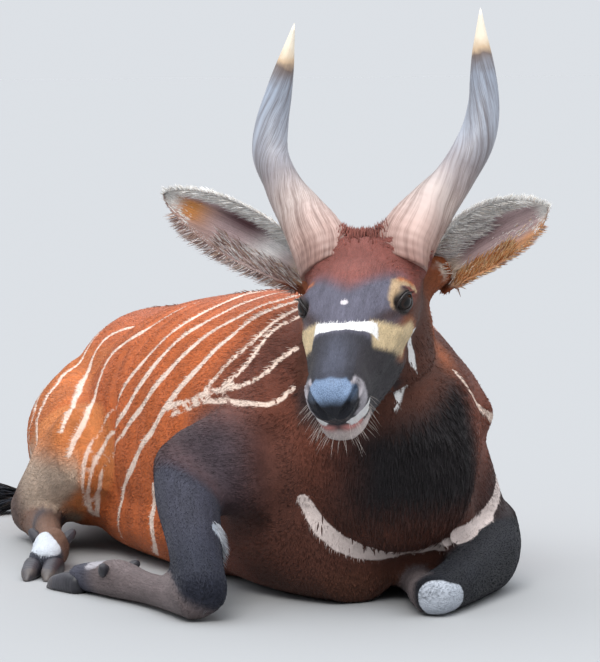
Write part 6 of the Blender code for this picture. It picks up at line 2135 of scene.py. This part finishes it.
# %% Hoof
def make_hoof_finish():
    """Grey-black horn with faint rings round it and worn, paler toes."""
    material, tree, shader = new_material("dark_hoof", 0.45, 0.4)
    along = read_attribute(tree, "along").outputs["Fac"]
    place_part = node(tree, "ShaderNodeTexCoord").outputs["Object"]
    cloud = noise(tree, place_part, 60.0, 4.0, 0.6)
    rings = node(tree, "ShaderNodeMath", operation="SINE")
    wire(tree, maths(tree, "MULTIPLY_ADD", along, 60.0, maths(tree, "MULTIPLY", cloud, 5.0)),
         rings.inputs[0])
    value = maths(tree, "MULTIPLY_ADD", cloud, 0.6, maths(tree, "MULTIPLY", along, 0.35))
    colour = ramp(tree, value, [(0.15, tone(30, 30, 36)), (0.5, tone(62, 60, 66)),
                                (0.85, tone(116, 106, 98))])
    wire(tree, colour, shader.inputs["Base Color"])
    wire(tree, bump(tree, maths(tree, "MULTIPLY_ADD", rings.outputs[0], 0.25, cloud), 0.4, 0.0008),
         shader.inputs["Normal"])
    return material


hoof_finish = make_hoof_finish()
for obj, _ in hooves:
    obj.data.materials.append(hoof_finish)
print("hoof finish made")

# %% Eye and lid rim
def make_eye_finish():
    """By the angle from the gaze: slot pupil, dark brown iris with spokes, and a dark brown ball."""
    material, tree, shader = new_material("dark_eye", 0.05, 0.22)
    gaze_part = node(tree, "ShaderNodeSeparateXYZ")
    wire(tree, read_attribute(tree, "gaze").outputs["Vector"], gaze_part.inputs[0])
    long_part, short_part = gaze_part.outputs[0], gaze_part.outputs[1]
    reach = maths(tree, "SQRT", maths(tree, "ADD", maths(tree, "MULTIPLY", long_part, long_part),
                                      maths(tree, "MULTIPLY", short_part, short_part)))
    spoke = noise(tree, read_attribute(tree, "gaze").outputs["Vector"], 9.0, 4.0, 0.6)
    iris = ramp(tree, maths(tree, "MULTIPLY_ADD", maths(tree, "SUBTRACT", spoke, 0.5), 0.12, reach), [
        (0.0, tone(14, 9, 8)), (0.34, tone(26, 15, 11)), (0.56, tone(38, 22, 15)), (0.66, tone(12, 8, 7)),
        (0.74, tone(30, 22, 20)), (1.0, tone(56, 42, 38))])
    wide = maths(tree, "MULTIPLY", long_part, 2.0)
    tall = maths(tree, "MULTIPLY", short_part, 4.6)
    slot_reach = maths(tree, "SQRT", maths(tree, "ADD", maths(tree, "MULTIPLY", wide, wide),
                                           maths(tree, "MULTIPLY", tall, tall)))
    pupil = span(tree, slot_reach, 0.85, 1.0, 1.0, 0.0)
    wire(tree, blend_of(tree, pupil, iris, plain(6, 5, 6)), shader.inputs["Base Color"])
    wire(tree, bump(tree, spoke, 0.04, 0.0004), shader.inputs["Normal"])
    shader.inputs["Coat Weight"].default_value = 0.10
    shader.inputs["Coat Roughness"].default_value = 0.03
    return material


def make_rim_finish():
    """Wet black skin with fine wrinkles."""
    material, tree, shader = new_material("wet_lid_rim", 0.30, 0.5)
    place_part = node(tree, "ShaderNodeTexCoord").outputs["Object"]
    wrinkle = noise(tree, place_part, 700.0, 3.0, 0.6)
    wire(tree, ramp(tree, wrinkle, [(0.3, tone(14, 10, 10)), (0.7, tone(40, 28, 26))]),
         shader.inputs["Base Color"])
    wire(tree, bump(tree, wrinkle, 0.5, 0.0004), shader.inputs["Normal"])
    return material


eye_finish, rim_finish = make_eye_finish(), make_rim_finish()
for side_name in ("left", "right"):
    eyes[side_name].data.materials.append(eye_finish)
    rims[side_name].data.materials.append(rim_finish)
print("eye finish made")

# %% Place the pieces
FLESH = ["torso", "neck", "head", "tail", "ear_left", "ear_right", "foreleg_left", "foreleg_right",
         "forefoot_left", "forefoot_right", "hindleg_left", "hindleg_right", "hindfoot_left",
         "hindfoot_right"]


def place(obj, slot, *nodes):
    """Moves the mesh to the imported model's place, and lets it ride and stand for its solids."""
    set_points(obj, points_of(obj) + SHIFT)
    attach(obj, "root")
    if nodes:
        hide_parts(*nodes)


place(skin, "coat", *FLESH)
for obj in [*hair, *ear_hair, *long_hair, fine_hair]:
    place(obj, "coat")
place(brush, "dark_coat", "tail_tuft")
for side in ("left", "right"):
    place(horns[side], "horn", "horn_" + side)
    place(eyes[side], "eye", "eye_" + side)
    place(rims[side], "dark_coat")
for obj, node_name in hooves:
    place(obj, "hoof", *node_name)
for obj in [skin, *horns.values(), *eyes.values(), *rims.values(), *[pair[0] for pair in hooves]]:
    obj.data.shade_smooth()
print("pieces placed:", len([*coat_pieces, *horns, *eyes, *rims, *hooves]))
